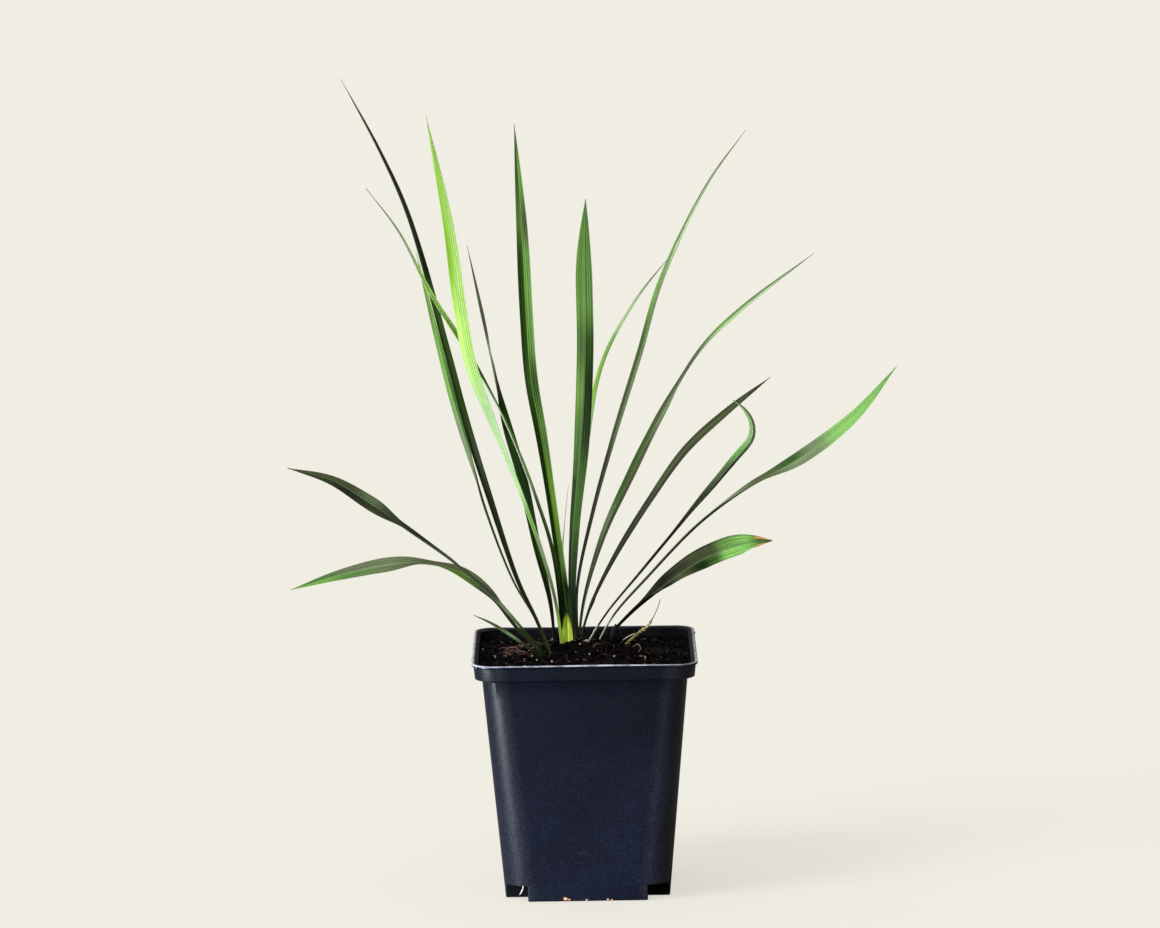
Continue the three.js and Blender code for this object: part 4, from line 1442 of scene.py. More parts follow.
@dataclass(frozen=True)
class PotPlastic:
    """Blue-black moulded plastic with a fine grain and scuffs, and painted light: lighter near the floor,
    darker towards the rim, a painted highlight along the lip's top edge and painted shade in the foot's
    recesses.
    """

    base: Rgb = linear(8, 10, 20)
    blue: Rgb = linear(18, 23, 39)
    scuff: Rgb = linear(58, 58, 80)
    # Colour of the painted highlight along the lip's top edge.
    wear_and_highlight: Rgb = linear(176, 172, 186)
    dust: Rgb = linear(60, 50, 46)
    film: Rgb = linear(32, 27, 28)
    # Near-black: painted shade in the foot's recesses, and peat that clings inside the rim.
    recess: Rgb = linear(5, 5, 8)
    specular: float = 0.1
    dull_specular: float = 0.08

    def painted_shade_recess(self, effects: Effects) -> Material:
        """Makes the foot's recesses: rough plastic painted near-black as the shade that lies in them.

        Args:
            effects: the shared node groups.

        Returns:
            The material.
        """
        material, shader, body = new_material("recess painted shade")
        grain = shader.group(effects.grain, Size=0.5, Seed=8.0)
        shade = shader.between(grain.outputs["Height"], 0.2, 0.7)
        shader.put(body.inputs["Base Color"], shader.blend(shade, self.recess, self.base))
        shader.put(body.inputs["Roughness"], shader.math("MULTIPLY_ADD", grain.outputs["Pits"], 0.2, 0.7))
        body.inputs["Specular IOR Level"].default_value = self.dull_specular
        shader.put(body.inputs["Normal"], shader.bump(grain.outputs["Height"], 0.00015, 0.5))
        return material

    def stained(self, effects: Effects) -> Material:
        """Makes the inside of the rim, grey with dried water and dark with clinging peat.

        Args:
            effects: the shared node groups.

        Returns:
            The material.
        """
        material, shader, body = new_material("stained plastic")
        grain = shader.group(effects.grain, Size=0.6, Seed=12.0)
        patches = shader.group(effects.mottle, Scale=150.0, Contrast=0.9, Seed=31.0)
        color = shader.blend(shader.between(patches.outputs["Factor"], 0.7, 1.4), self.base, self.film)
        clung = shader.between(grain.outputs["Height"], 0.32, 0.5)
        color = shader.blend(shader.math("MULTIPLY", clung, 0.75), color, self.recess)
        shader.put(body.inputs["Base Color"], color)
        shader.put(body.inputs["Roughness"], shader.math("MULTIPLY_ADD", grain.outputs["Pits"], 0.2, 0.62))
        body.inputs["Specular IOR Level"].default_value = self.dull_specular
        shader.put(body.inputs["Normal"], shader.bump(grain.outputs["Height"], 0.0003, 0.6))
        return material

    def material(self, effects: Effects, pot: Pot) -> Material:
        """Makes the plastic.

        Args:
            effects: the shared node groups.
            pot: sizes of the pot.

        Returns:
            The material.
        """
        material, shader, body = new_material("pot plastic")
        place = shader.place()
        height = shader.node("SeparateXYZ")
        shader.put(height.inputs[0], place)
        grain = shader.group(effects.grain, Size=0.42, Seed=3.0)
        patches = shader.group(effects.mottle, Scale=34.0, Contrast=0.35, Seed=7.0)
        broad = shader.between(patches.outputs["Factor"], 0.7, 1.3, 0.15, 0.85)
        color = shader.blend(broad, self.base, self.blue)
        fine = shader.noise(shader.shift(place, 6.0), 1500.0, 2.0, 0.7)
        pebbled = shader.math("MULTIPLY_ADD", grain.outputs["Height"], 0.5, fine)
        tone = shader.between(pebbled, 0.45, 1.0, 0.45, 1.9)
        color = shader.blend(1.0, color, shader.grey(tone), "MULTIPLY")
        # Painted light: the body is lighter near the floor and darker towards the rim, as the floor's bounce
        # would light it.
        painted_bounce_light = shader.between(height.outputs["Z"], 0.01, pot.height * MM, 1.3, 0.6)
        color = shader.blend(1.0, color, shader.grey(painted_bounce_light), "MULTIPLY")
        scuffs = shader.group(effects.mottle, Scale=55.0, Contrast=1.0, Seed=21.0)
        streaky = shader.noise(shader.shift(place, 4.0, (160, 160, 1500)), 1.0, 3.0)
        rubs = shader.math("MULTIPLY", shader.between(scuffs.outputs["Factor"], 1.28, 1.6),
                           shader.between(streaky, 0.5, 0.68))
        color = shader.blend(shader.math("MULTIPLY", rubs, 0.5), color, self.scuff)
        # Painted highlight: a pale broken line along the lip's top edge.
        top = shader.between(height.outputs["Z"], (pot.height - 0.5) * MM, (pot.height - 0.2) * MM)
        lip = shader.math("MULTIPLY", self._edge(shader, place, pot), top)
        broken = shader.noise(shader.shift(place, 9.0, (110, 110, 20)), 1.0, 3.0, 0.7)
        lip = shader.math("MULTIPLY", lip, shader.between(broken, 0.36, 0.56, 0.35, 1.0))
        color = shader.blend(shader.math("MULTIPLY", lip, 0.85), color, self.wear_and_highlight)
        low = shader.between(height.outputs["Z"], 0.0, 0.03, 1.0, 0.0)
        soiled = shader.math("MULTIPLY", shader.math("MULTIPLY", low, patches.outputs["Spots"]), 0.5)
        color = shader.blend(soiled, color, self.dust)
        shader.put(body.inputs["Base Color"], color)
        rough = shader.math("MULTIPLY_ADD", patches.outputs["Factor"], 0.08, 0.4)
        shader.put(body.inputs["Roughness"], shader.math("MULTIPLY_ADD", rubs, 0.15, rough))
        body.inputs["Specular IOR Level"].default_value = self.specular
        # Wear pattern that sets where the corners' clear coat lies.
        wear_and_highlight = shader.math("MULTIPLY_ADD", grain.outputs["Height"], 0.35, fine)
        worn = shader.between(wear_and_highlight, 0.3, 0.85, 0.35, 1.0)
        polish = shader.math("MULTIPLY", self._corners(shader, height, pot), worn)
        shader.put(body.inputs["Coat Weight"], polish)
        body.inputs["Coat Roughness"].default_value = 0.36
        normal = shader.bump(grain.outputs["Height"], 0.00014, 0.8)
        waves = shader.noise(shader.shift(place, 2.0), 26.0, 2.0)
        normal = shader.bump(waves, 0.0012, 0.35, normal)
        shader.put(body.inputs["Normal"], normal)
        return material

    @staticmethod
    def _edge(shader: Shader, place: Socket, pot: Pot) -> Socket:
        """Masks the outermost edge of the lip along its rounded square.

        Args:
            shader: the material's shader helper.
            place: position on the pot.
            pot: sizes of the pot.

        Returns:
            1 on the edge, 0 inside it.
        """
        half = (pot.lip_width / 2 - pot.rim_corner) * MM
        size = shader.node("VectorMath", operation="ABSOLUTE")
        shader.put(size.inputs[0], place)
        beyond = shader.node("VectorMath", operation="SUBTRACT")
        shader.put(beyond.inputs[0], size.outputs[0])
        beyond.inputs[1].default_value = (half, half, 1.0)
        corner = shader.node("VectorMath", operation="MAXIMUM")
        shader.put(corner.inputs[0], beyond.outputs[0])
        corner.inputs[1].default_value = (0.0, 0.0, 0.0)
        reach = shader.node("VectorMath", operation="LENGTH")
        shader.put(reach.inputs[0], corner.outputs[0])
        inner, outer = ((pot.rim_corner - depth) * MM for depth in (1.3, 0.6))
        return shader.between(reach.outputs["Value"], inner, outer)

    @staticmethod
    def _corners(shader: Shader, place: Node, pot: Pot) -> Socket:
        """Masks the four rounded corners, which handling has polished.

        Args:
            shader: the material's shader helper.
            place: node that puts out the position's X, Y and Z.
            pot: sizes of the pot.

        Returns:
            1 on the corners, 0 on the flat faces.
        """
        band_foot = pot.height - pot.band_height
        foot = pot.base_width / 2 - pot.base_corner
        head = pot.body_top_width / 2 - pot.rim_corner
        slope = (head - foot) / band_foot
        flat = shader.math("MULTIPLY_ADD", place.outputs["Z"], slope, foot * MM)
        near = shader.math("MINIMUM", shader.math("ABSOLUTE", place.outputs["X"]),
                           shader.math("ABSOLUTE", place.outputs["Y"]))
        return shader.between(shader.math("SUBTRACT", near, flat), -4 * MM, 1 * MM)


# Soil


@dataclass
class Peat:
    """Dark peat in the pot: a lumpy bed with crumbs, fibres, bark strands and pale grit on it.

    Attributes:
        plug: width and height of the two lowest rings of the bed's buried body.
        rows: rows of faces from the bed's edge to its middle.
        heap: number of bark strands in the heap at the left.
        crumb_depth: how much lower the bed lies, to leave room for the crumbs.
        back_drop: how far it sinks at the back wall.
        mounds: soft hills, each its X, Y, height and spread.
        lumps: waves of the bed, each its height, its turns along X and Y and its phase.
        curl: X and Y at which the curled strand starts.
        chips: pale grains at given places, each its X, Y and size.
        foot_chips: crumbs that cling to the pot's front foot, each its X, Z and size.
        extras: single strands, each its route, radius, flatness and material.
    """

    pot: Pot
    level: float = 95.4
    gap: float = 0.3
    plug: tuple[tuple[float, float], ...] = ((61.0, 8.4), (74.5, 88.0))
    rows: int = 46
    crumbs: int = 900
    crumb_sizes: tuple[float, float] = (0.6, 1.5)
    grains: int = 2400
    grain_sizes: tuple[float, float] = (0.22, 0.65)
    fibres: int = 230
    heap: int = 30
    heap_place: tuple[float, float] = (-29, 6)
    heap_spread: tuple[float, float] = (4.2, 6)
    crumb_depth: float = 0.8
    back_drop: float = 1.3
    mounds: tuple[tuple[float, float, float, float], ...] = ((0.0, 3.0, 4.6, 13.5), (-3.6, -4.6, 1.7, 3.0))
    seed: int = 11
    lumps: tuple[tuple[float, float, float, float], ...] = (
        (0.45, 0.31, 0.23, 0.6), (0.35, -0.42, 0.55, 2.1), (0.25, 0.83, -0.61, 4.0))
    curl: tuple[float, float] = (20, -12)
    chips: tuple[Point, ...] = (
        (-41, 8, 0.55), (-36, -8, 0.75), (-13, -22, 0.5), (-21, -8, 0.5), (-13, 37, 0.7), (33, -1, 0.65),
        (2, -14, 0.5), (1, -2, 0.7), (-9.4, -7.5, 0.7), (12, -16, 0.45), (18, 20, 0.5), (24, -30, 0.4))
    random_chips: int = 70
    foot_chips: tuple[Point, ...] = (
        (-8.9, 1.0, 0.85), (-7.6, 0.7, 0.6), (-0.5, 0.5, 0.45), (8.0, 0.5, 0.5), (9.6, 0.4, 0.35))
    extras: tuple[tuple[Route, float, float, int], ...] = (
        (((10.6, 8, 97), (11.9, 8.4, 102), (13.1, 9, 104.9)), 1.25, 0.8, 0),
        (((-26.8, -27.8, 8.4), (-25.9, -29.3, 6.1), (-26.4, -30.2, 4), (-27.4, -30.4, 2.4)), 0.34, 0.9, 3),
        (((15.5, 7, 98.6), (17.8, 6.6, 100.2), (21, 8, 101.4)), 0.34, 0.8, 3),
        (((19.2, -6, 98.2), (21.4, -7.5, 99.6), (22.6, -10, 98.4), (21.6, -12, 97)), 0.22, 0.9, 2))

    def top(self, x: float, y: float) -> float:
        """Finds the height of the bed: mounded round the crown, low at the back wall, with lumps.

        Args:
            x: place along X.
            y: place along Y.

        Returns:
            The height there.
        """
        mound = sum(rise * math.exp(-((x - at_x) ** 2 + (y - at_y) ** 2) / (2 * spread ** 2))
                    for at_x, at_y, rise, spread in self.mounds)
        lumps = sum(height * math.sin(a * x + b * y + phase) for height, a, b, phase in self.lumps)
        rough = noise.fractal(Vector((x, y, 7.0)) * 0.45, 0.8, 2.2, 4) * 0.55
        sunk = self.crumb_depth + self.back_drop * smoothstep(y, 8, self.half)
        return self.level + mound + lumps + rough - sunk

    @property
    def half(self) -> float:
        """Half of the bed's width."""
        return self.pot.band_foot_width / 2 - self.pot.wall - self.gap

    def bed(self) -> MeshDraft:
        """Makes the bed: a fine lumpy top on a plug that fills the pot.

        Returns:
            The mesh.
        """
        draft = MeshDraft()
        corner = self.pot.rim_corner - 1.2
        shoulder = (2 * self.half, self.pot.height - self.pot.band_height + 2.0)
        rings = [self.pot.ring(width, corner, z) for width, z in (*self.plug, shoulder)]
        for step in range(self.rows + 1):
            share = 1 - step / self.rows
            places = [(p.x * share, p.y * share) for p in self.pot.ring(2 * self.half, corner, 0)]
            rings.append([Vector((x, y, self.top(x, y))) for x, y in places])
        draft.add_rings(rings, cap_start=True)
        return draft

    def _spot(self, rng: np.random.Generator, count: int, margin: float) -> np.ndarray:
        """Draws random places on the bed.

        Args:
            rng: the random generator.
            count: number of places.
            margin: how far they stay from the bed's edge.

        Returns:
            Rows of X, Y and Z.
        """
        flat = rng.uniform(-self.half + margin, self.half - margin, (count, 2))
        heights = [self.top(x, y) for x, y in flat]
        return np.column_stack([flat, heights])

    def loose(self) -> MeshDraft:
        """Makes the crumbs and grains that lie on the bed.

        Returns:
            The mesh of them all.
        """
        rng = np.random.default_rng(self.seed)
        draft = MeshDraft()
        kinds = ((self._ball(2), self.crumbs, self.crumb_sizes),
                 (self._ball(1), self.grains, self.grain_sizes))
        for (points, faces), count, (low, high) in kinds:
            spots = self._spot(rng, count, 1.4)
            sizes = low + (high - low) * rng.random(count) ** 2.2
            for spot, size in zip(spots, sizes):
                stretch = size * rng.uniform(0.6, 1.35, 3)
                jitter = rng.uniform(0.72, 1.2, (len(points), 1))
                turn = rng.normal(size=4)
                spin = np.array(Quaternion(turn / np.linalg.norm(turn)).to_matrix())
                placed = (points * jitter * stretch) @ spin.T + spot + (0, 0, 0.2 * size)
                self._add_grain(draft, placed, faces)
        return draft

    @staticmethod
    def _add_grain(draft: MeshDraft, placed: np.ndarray, faces: list[tuple[int, ...]]) -> None:
        """Adds one grain to a mesh.

        Args:
            draft: the mesh.
            placed: points of the grain.
            faces: indices of the points of each of its faces.
        """
        first = draft.add_points([Vector(row) for row in placed])
        for face in faces:
            draft.add_face(tuple(first + k for k in face))

    @staticmethod
    def _ball(level: int) -> tuple[np.ndarray, list[tuple[int, ...]]]:
        """Makes a unit ball of even triangles.

        Args:
            level: how finely it is divided.

        Returns:
            Its points, and the indices of the points of each face.
        """
        mesh = bpy.data.meshes.new("ball")
        work = bmesh.new()
        bmesh.ops.create_icosphere(work, subdivisions=level, radius=1.0)
        work.to_mesh(mesh)
        work.free()
        points = np.array([vertex.co[:] for vertex in mesh.vertices])
        faces = [tuple(polygon.vertices) for polygon in mesh.polygons]
        bpy.data.meshes.remove(mesh)
        return points, faces

    @staticmethod
    def _strand(draft: MeshDraft, path: list[Vector], radius: float, flat: float, slot: int) -> None:
        """Adds a tapered strand.

        Args:
            draft: the mesh that it is added to.
            path: points along its middle.
            radius: half of its width.
            flat: its thickness as a share of its width.
            slot: index of its material.
        """
        rings = []
        for k, point in enumerate(path):
            along = (path[min(k + 1, len(path) - 1)] - path[max(k - 1, 0)]).normalized()
            side = along.cross(Vector((0, 0, 1))).normalized()
            up = side.cross(along)
            size = radius * (0.35 + 0.65 * math.sin(math.pi * (k + 0.6) / (len(path) + 0.2)))
            rings.append([point + side * (size * math.cos(a)) + up * (size * flat * math.sin(a))
                          for a in (j * math.pi / 3 for j in range(6))])
        first = len(draft.faces)
        draft.add_rings(rings, cap_start=True, cap_end=True)
        draft.slot_from(first, slot)

    def _arc(self, rng: random.Random, x: float, y: float, length: float, heading: float,
             lift: float) -> list[Vector]:
        """Bends a path that lies on the bed.

        Args:
            rng: the random generator.
            x: place along X at which it starts.
            y: place along Y at which it starts.
            length: its length.
            heading: angle of its middle, in radians.
            lift: how far its middle rises off the bed.

        Returns:
            Points along it.
        """
        bend, path, steps = rng.uniform(-0.9, 0.9), [], 7
        for k in range(steps + 1):
            share = k / steps
            turn = heading + bend * (share - 0.5)
            x += math.cos(turn) * length / steps
            y += math.sin(turn) * length / steps
            x = min(max(x, -self.half + 1), self.half - 1)
            y = min(max(y, -self.half + 1), self.half - 1)
            path.append(Vector((x, y, self.top(x, y) + 0.25 + lift * math.sin(math.pi * share))))
        return path

    def strands(self) -> MeshDraft:
        """Makes the fibres all over the bed, the heap of bark strands at its left and the single strands.

        Returns:
            The mesh, with indices 0 for root, 1 for bark, 2 for straw and 3 for white root.
        """
        rng = random.Random(self.seed)
        draft = MeshDraft()
        for _ in range(self.fibres):
            x, y = (rng.uniform(-self.half + 4, self.half - 4) for _ in range(2))
            path = self._arc(rng, x, y, length=rng.uniform(2.5, 9), heading=rng.uniform(0, 2 * math.pi),
                             lift=rng.uniform(0, 1.2))
            self._strand(draft, path, rng.uniform(0.06, 0.16), 0.8, rng.choice((0, 0, 0, 0, 0, 1, 1, 2)))
        for _ in range(self.heap):
            x, y = (rng.gauss(at, spread) for at, spread in zip(self.heap_place, self.heap_spread))
            path = self._arc(rng, x, y, length=rng.uniform(5, 12), heading=rng.gauss(-0.5, 0.35),
                             lift=rng.uniform(0.4, 2.0))
            self._strand(draft, path, rng.uniform(0.22, 0.5), 0.4, rng.choice((1, 1, 1, 2)))
        self._strand(draft, self._curl_path(), 0.28, 0.7, 2)
        for path, radius, flat, slot in self.extras:
            points = rooted_curve(path)[CURVE_SAMPLES::8]
            self._strand(draft, points, radius, flat, slot)
        return draft

    def _curl_path(self) -> list[Vector]:
        """Winds the path of the one curled strand, from its start towards the front.

        Returns:
            Points along it.
        """
        x, y = self.curl
        level = self.top(x, y) + 0.5
        return [Vector((x + 4.5 * math.sin(0.3 * k), y - 1.4 * k, level + 0.9 * math.sin(0.4 * k)))
                for k in range(8)]

    def grit(self) -> MeshDraft:
        """Makes the pale grains and chips.

        Returns:
            The mesh of them all.
        """
        rng = np.random.default_rng(self.seed + 1)
        points, faces = self._ball(2)
        draft = MeshDraft()
        places = list(self.chips)
        places += [(*rng.uniform(-40, 40, 2), rng.uniform(0.18, 0.42)) for _ in range(self.random_chips)]
        for x, y, size in places:
            centre = np.array((x, y, self.top(x, y) + 0.6 * size + 0.15))
            jitter = rng.uniform(0.8, 1.1, (len(points), 1))
            placed = points * jitter * (size * rng.uniform(0.6, 1.1, 3)) + centre
            self._add_grain(draft, placed, faces)
        return draft

    def foot_crumbs(self) -> MeshDraft:
        """Makes the few crumbs that cling to the pot's front foot.

        Returns:
            The mesh of them all.
        """
        rng = np.random.default_rng(self.seed + 2)
        points, faces = self._ball(2)
        draft = MeshDraft()
        front = -self.pot.base_width / 2 - 0.1
        for x, z, size in self.foot_chips:
            jitter = rng.uniform(0.75, 1.15, (len(points), 1))
            placed = points * jitter * (1.3 * size, 0.7 * size, 0.8 * size) + np.array((x, front, z))
            placed[:, 2] = np.maximum(placed[:, 2], 0.05)
            self._add_grain(draft, placed, faces)
        return draft

    def dress(self, finish: "PeatFinish", effects: Effects) -> None:
        """Makes the finished bed and all that lies on it.

        Args:
            finish: colours of the peat and what lies on it.
            effects: the shared node groups.
        """
        peat = finish.peat(effects)
        seat(self.bed().build("peat_bed", [peat]), Slot.PEAT, "soil")
        seat(self.loose().build("peat_crumbs", [peat], smooth=50), Slot.PEAT)
        kinds = (("root fibre", finish.root), ("bark strand", finish.bark),
                 ("straw fibre", finish.straw), ("white root", finish.white))
        fibres = [finish.fibre(name, color, effects) for name, color in kinds]
        seat(self.strands().build("peat_strands", fibres), Slot.PEAT)
        seat(self.grit().build("pale_grit", [finish.fibre("pale grit", finish.pale, effects)]), Slot.PEAT)
        chips = finish.fibre("bark chip", finish.chip, effects)
        seat(self.foot_crumbs().build("foot_crumbs", [chips]), Slot.PEAT)


@dataclass(frozen=True)
class PeatFinish:
    """Crumbly dark peat, and the fibres and grit in it."""

    dark: Rgb = linear(2, 1, 1)
    brown: Rgb = linear(12, 7, 6)
    rust: Rgb = linear(56, 32, 26)
    root: Rgb = linear(38, 25, 20)
    bark: Rgb = linear(96, 60, 50)
    straw: Rgb = linear(150, 120, 102)
    chip: Rgb = linear(216, 158, 118)
    pale: Rgb = linear(196, 186, 176)
    white: Rgb = linear(226, 218, 196)
    sprout: Rgb = linear(214, 198, 128)
    thread: Rgb = linear(104, 100, 84)
    peat_specular: float = 0.05
    fibre_specular: float = 0.25
    shade: float = 0.35

    def peat(self, effects: Effects) -> Material:
        """Makes the peat.

        Args:
            effects: the shared node groups.

        Returns:
            The material.
        """
        material, shader, body = new_material("peat")
        mottle = shader.group(effects.mottle, Scale=420.0, Contrast=0.8, Seed=5.0)
        broad = shader.group(effects.mottle, Scale=90.0, Contrast=0.8, Seed=15.0)
        grain = shader.group(effects.grain, Size=0.5, Seed=1.0)
        color = shader.blend(shader.between(mottle.outputs["Factor"], 0.8, 1.5), self.dark, self.brown)
        patches = shader.between(broad.outputs["Factor"], 0.95, 1.35)
        color = shader.blend(shader.math("MULTIPLY", patches, 0.6), color, self.brown)
        color = shader.blend(shader.math("MULTIPLY", mottle.outputs["Spots"], 0.5), color, self.rust)
        shader.put(body.inputs["Base Color"], color)
        shader.put(body.inputs["Roughness"], shader.math("MULTIPLY_ADD", grain.outputs["Pits"], 0.2, 0.78))
        body.inputs["Specular IOR Level"].default_value = self.peat_specular
        normal = shader.bump(grain.outputs["Height"], 0.0004, 0.8)
        shader.put(body.inputs["Normal"], shader.bump(mottle.outputs["Factor"], 0.0008, 0.6, normal))
        return material

    def fibre(self, name: str, color: Rgb, effects: Effects) -> Material:
        """Makes a dry finish of one colour with darker and lighter places.

        Args:
            name: the material's name, whose length moves its noise.
            color: the lightest colour.
            effects: the shared node groups.

        Returns:
            The material.
        """
        material, shader, body = new_material(name)
        mottle = shader.group(effects.mottle, Scale=260.0, Contrast=0.9, Seed=len(name))
        grain = shader.group(effects.grain, Size=0.3, Seed=2.0)
        light = shader.between(mottle.outputs["Factor"], 0.6, 1.4)
        shaded = tuple(self.shade * part for part in color)
        shader.put(body.inputs["Base Color"], shader.blend(light, shaded, color))
        shader.put(body.inputs["Roughness"], shader.math("MULTIPLY_ADD", grain.outputs["Pits"], 0.2, 0.65))
        body.inputs["Specular IOR Level"].default_value = self.fibre_specular
        shader.put(body.inputs["Normal"], shader.bump(grain.outputs["Height"], 0.0002, 0.6))
        return material


# Dried sprout


@dataclass
class DrySprout:
    """Thin dried sprout: a knotty straw-coloured stalk that ends in a grey thread.

    Attributes:
        radius: radius of the stalk.
        thread: radius of the thread.
        straw_end: share of the length at which the stalk's colour ends.
        narrowing: shares of the length between which the stalk narrows to the thread.
        knots: swellings, each the share it sits at and its height.
        knot_reach: how far a knot reaches, as a share of the length.
    """

    route: Route = ((17, 8, 97), (22, 10, 101), (26, 11, 104), (30, 13, 111), (31, 14, 114))
    radius: float = 0.55
    thread: float = 0.16
    straw_end: float = 0.66
    narrowing: tuple[float, float] = (0.5, 0.72)
    knots: tuple[tuple[float, float], ...] = (
        (0.36, 0.42), (0.44, 0.3), (0.5, 0.45), (0.58, 0.3), (0.64, 0.35))
    knot_reach: float = 0.014

    def draft(self) -> MeshDraft:
        """Makes the stalk, with its knots.

        Returns:
            The mesh, with indices 0 for the straw and 1 for the thread.
        """
        draft = MeshDraft()
        points = rooted_curve(self.route)
        rings = []
        for k, point in enumerate(points[:-1]):
            share = k / (len(points) - 1)
            along = (points[k + 1] - point).normalized()
            side = along.cross(Vector((0, 1, 0))).normalized()
            up = side.cross(along)
            swell = sum(height * math.exp(-((share - at) / self.knot_reach) ** 2)
                        for at, height in self.knots)
            thinned = smoothstep(share, *self.narrowing)
            size = self.thread + (self.radius - self.thread) * (1 - thinned) + swell
            rings.append([point + side * (size * math.cos(a)) + up * (size * math.sin(a))
                          for a in (j * math.pi / 4 for j in range(8))])
        draft.add_rings(rings, cap_start=True, cap_end=True)
        draft.slot_from(round(self.straw_end * (len(rings) - 1)) * len(rings[0]), 1)
        return draft

    def dress(self, finish: PeatFinish, effects: Effects) -> None:
        """Makes the finished sprout.

        Args:
            finish: colours of the sprout.
            effects: the shared node groups.
        """
        materials = [finish.fibre("dry straw", finish.sprout, effects),
                     finish.fibre("grey thread", finish.thread, effects)]
        seat(self.draft().build("dry_sprout_stalk", materials), Slot.STRAW, "dry_sprout")


# Stage


@dataclass(frozen=True)
class Sun:
    """A soft sun.

    Attributes:
        name: its name.
        heading: degrees from -Y towards +X at which it stands.
        height: degrees above the floor.
        strength: its strength.
        spread: its apparent size in degrees.
    """

    name: str
    heading: float
    height: float
    strength: float
    spread: float

    def shine(self) -> None:
        """Adds the sun to the scene."""
        lamp = bpy.data.lights.new(self.name, "SUN")
        lamp.energy = self.strength
        lamp.angle = math.radians(self.spread)
        turn, rise = math.radians(self.heading), math.radians(self.height)
        towards = Vector((math.sin(turn) * math.cos(rise), -math.cos(turn) * math.cos(rise), math.sin(rise)))
        holder = bpy.data.objects.new(self.name, lamp)
        holder.rotation_euler = towards.to_track_quat("Z", "Y").to_euler()
        bpy.context.scene.collection.objects.link(holder)


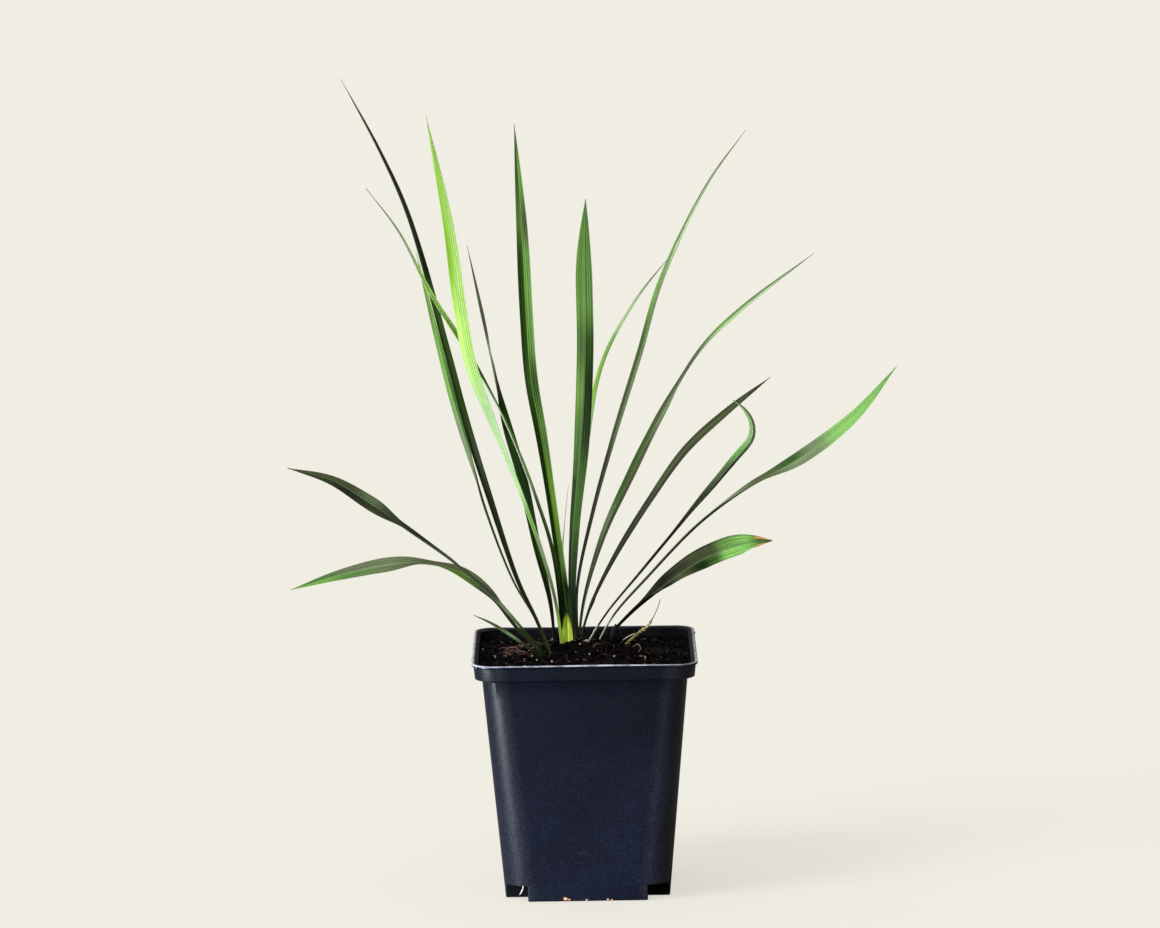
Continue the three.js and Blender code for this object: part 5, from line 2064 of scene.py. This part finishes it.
@dataclass(frozen=True)
class Stage:
    """Pale floor, soft lights, and the camera at the photograph's angle.

    Attributes:
        pivot: point that the camera looks at.
        bounce: colour with which the floor lights the part.
        floor_tone: colour of the floor where the camera sees it.
        floor_glow: light of its own that the floor shows there.
        sky: strength of the surroundings on the dark and on the bright side.
        sky_band: how far a direction agrees with sky_from where these two set in.
    """

    pivot: Point = (-0.675, 0.0, 172.04)
    distance: float = 2500.0
    elevation: float = 8.5
    roll: float = 0.85
    lens: float = 193.2
    sensor: float = 36.0
    view_reach: float = 100.0
    cream: Rgb = linear(241, 238, 227)
    bounce: Rgb = (0.16, 0.155, 0.145)
    floor_tone: Rgb = (0.17, 0.165, 0.15)
    floor_glow: Rgb = (0.65, 0.63, 0.565)
    floor_gap: float = 0.2
    reach: float = 16000.0
    sky: tuple[float, float] = (0.1, 1.15)
    sky_band: tuple[float, float] = (-0.6, 0.9)
    sky_from: Point = (-0.75, -0.1, 0.65)
    sky_color: Rgb = (0.95, 0.97, 1.0)
    suns: tuple[Sun, ...] = (Sun("key", -58, 40, 2.3, 26), Sun("edge", -45, 5, 1.2, 46))
    card_size: tuple[float, float] = (160.0, 140.0)
    card_place: Point = (-310.0, -320.0, 22.0)
    card_aim: Point = (-30.0, -30.0, 45.0)
    card_energy: float = 5.1
    card_color: Rgb = (0.8, 0.9, 1.0)

    def camera(self) -> None:
        """Places the camera."""
        rise, roll = math.radians(self.elevation), math.radians(self.roll)
        forward = Vector((0, math.cos(rise), -math.sin(rise)))
        right, up = Vector((1, 0, 0)), Vector((0, math.sin(rise), math.cos(rise)))
        tilted_right = right * math.cos(roll) - up * math.sin(roll)
        tilted_up = right * math.sin(roll) + up * math.cos(roll)
        place = (Vector(self.pivot) - forward * self.distance) * MM
        data = bpy.data.cameras.new("camera")
        data.lens = self.lens
        data.sensor_width = self.sensor
        data.clip_end = self.view_reach
        camera = bpy.data.objects.new("camera", data)
        rows = Matrix((tilted_right, tilted_up, -forward)).transposed().to_4x4()
        camera.matrix_world = Matrix.Translation(place) @ rows
        bpy.context.scene.collection.objects.link(camera)
        bpy.context.scene.camera = camera

    def floor(self) -> bpy.types.Object:
        """Makes the pale floor, which shines a little of its own so that shadows stay faint.

        Returns:
            The floor.
        """
        draft = MeshDraft()
        signs = ((-1, -1), (1, -1), (1, 1), (-1, 1))
        draft.add_points([Vector((x * self.reach, y * self.reach, -self.floor_gap)) for x, y in signs])
        draft.add_face((0, 1, 2, 3))
        material, shader, body = new_material("pale floor")
        seen = shader.node("LightPath").outputs["Is Camera Ray"]
        shader.put(body.inputs["Base Color"], shader.blend(seen, self.bounce, self.floor_tone))
        body.inputs["Roughness"].default_value = 0.9
        body.inputs["Specular IOR Level"].default_value = 0.0
        shader.put(body.inputs["Emission Color"], shader.blend(seen, (0.0, 0.0, 0.0), self.floor_glow))
        body.inputs["Emission Strength"].default_value = 1.0
        floor = draft.build("floor", [material])
        return floor


    def card(self, floor: bpy.types.Object) -> None:
        """Adds a low light card at the left front, which the pot's left corner mirrors.

        Args:
            floor: the floor, which the card leaves unlit.
        """
        lamp = bpy.data.lights.new("card", "AREA")
        lamp.shape = "RECTANGLE"
        lamp.size, lamp.size_y = (length * MM for length in self.card_size)
        lamp.energy = self.card_energy
        lamp.color = self.card_color
        holder = bpy.data.objects.new("card", lamp)
        place = Vector(self.card_place) * MM
        holder.location = place
        away = place - Vector(self.card_aim) * MM
        holder.rotation_euler = away.to_track_quat("Z", "Y").to_euler()
        bpy.context.scene.collection.objects.link(holder)
        shielded = bpy.data.collections.new("shielded from the card")
        shielded.objects.link(floor)
        shielded.collection_objects[0].light_linking.link_state = "EXCLUDE"
        holder.light_linking.receiver_collection = shielded

    def world(self) -> None:
        """Fills the surroundings with light from the upper left, and with cream for the camera."""
        world = bpy.data.worlds.new("studio")
        world.use_nodes = True
        tree = Shader(world.node_tree)
        towards = tree.node("VectorMath", operation="DOT_PRODUCT")
        tree.put(towards.inputs[0], tree.node("TexCoord").outputs["Generated"])
        towards.inputs[1].default_value = Vector(self.sky_from).normalized()
        light = world.node_tree.nodes["Background"]
        tree.put(light.inputs["Color"], self.sky_color)
        strength = tree.between(towards.outputs["Value"], *self.sky_band, *self.sky)
        tree.put(light.inputs["Strength"], strength)
        seen = tree.node("Background")
        tree.put(seen.inputs["Color"], self.cream)
        mix = tree.node("MixShader")
        tree.put(mix.inputs[0], tree.node("LightPath").outputs["Is Camera Ray"])
        tree.put(mix.inputs[1], light.outputs[0])
        tree.put(mix.inputs[2], seen.outputs[0])
        tree.put(world.node_tree.nodes["World Output"].inputs["Surface"], mix.outputs[0])
        bpy.context.scene.world = world

    def set_up(self) -> None:
        """Builds the whole stage."""
        self.camera()
        floor = self.floor()
        self.world()
        for sun in self.suns:
            sun.shine()
        self.card(floor)
        bpy.context.scene.view_settings.view_transform = "Standard"


def main() -> None:
    """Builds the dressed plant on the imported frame."""
    logging.basicConfig(level=logging.INFO, format="%(message)s")
    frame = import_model()
    LOG.info("frame of %d nodes", len(frame["nodes"]))
    Stage().set_up()
    effects = Effects()
    pot = Pot()
    pot.dress(PotPlastic(), effects)
    peat_finish = PeatFinish()
    Peat(pot).dress(peat_finish, effects)
    for number, leaf in enumerate(LEAVES):
        leaf.dress(effects, SEED_STEP * number)
    DrySprout().dress(peat_finish, effects)


if __name__ == "__main__":
    main()
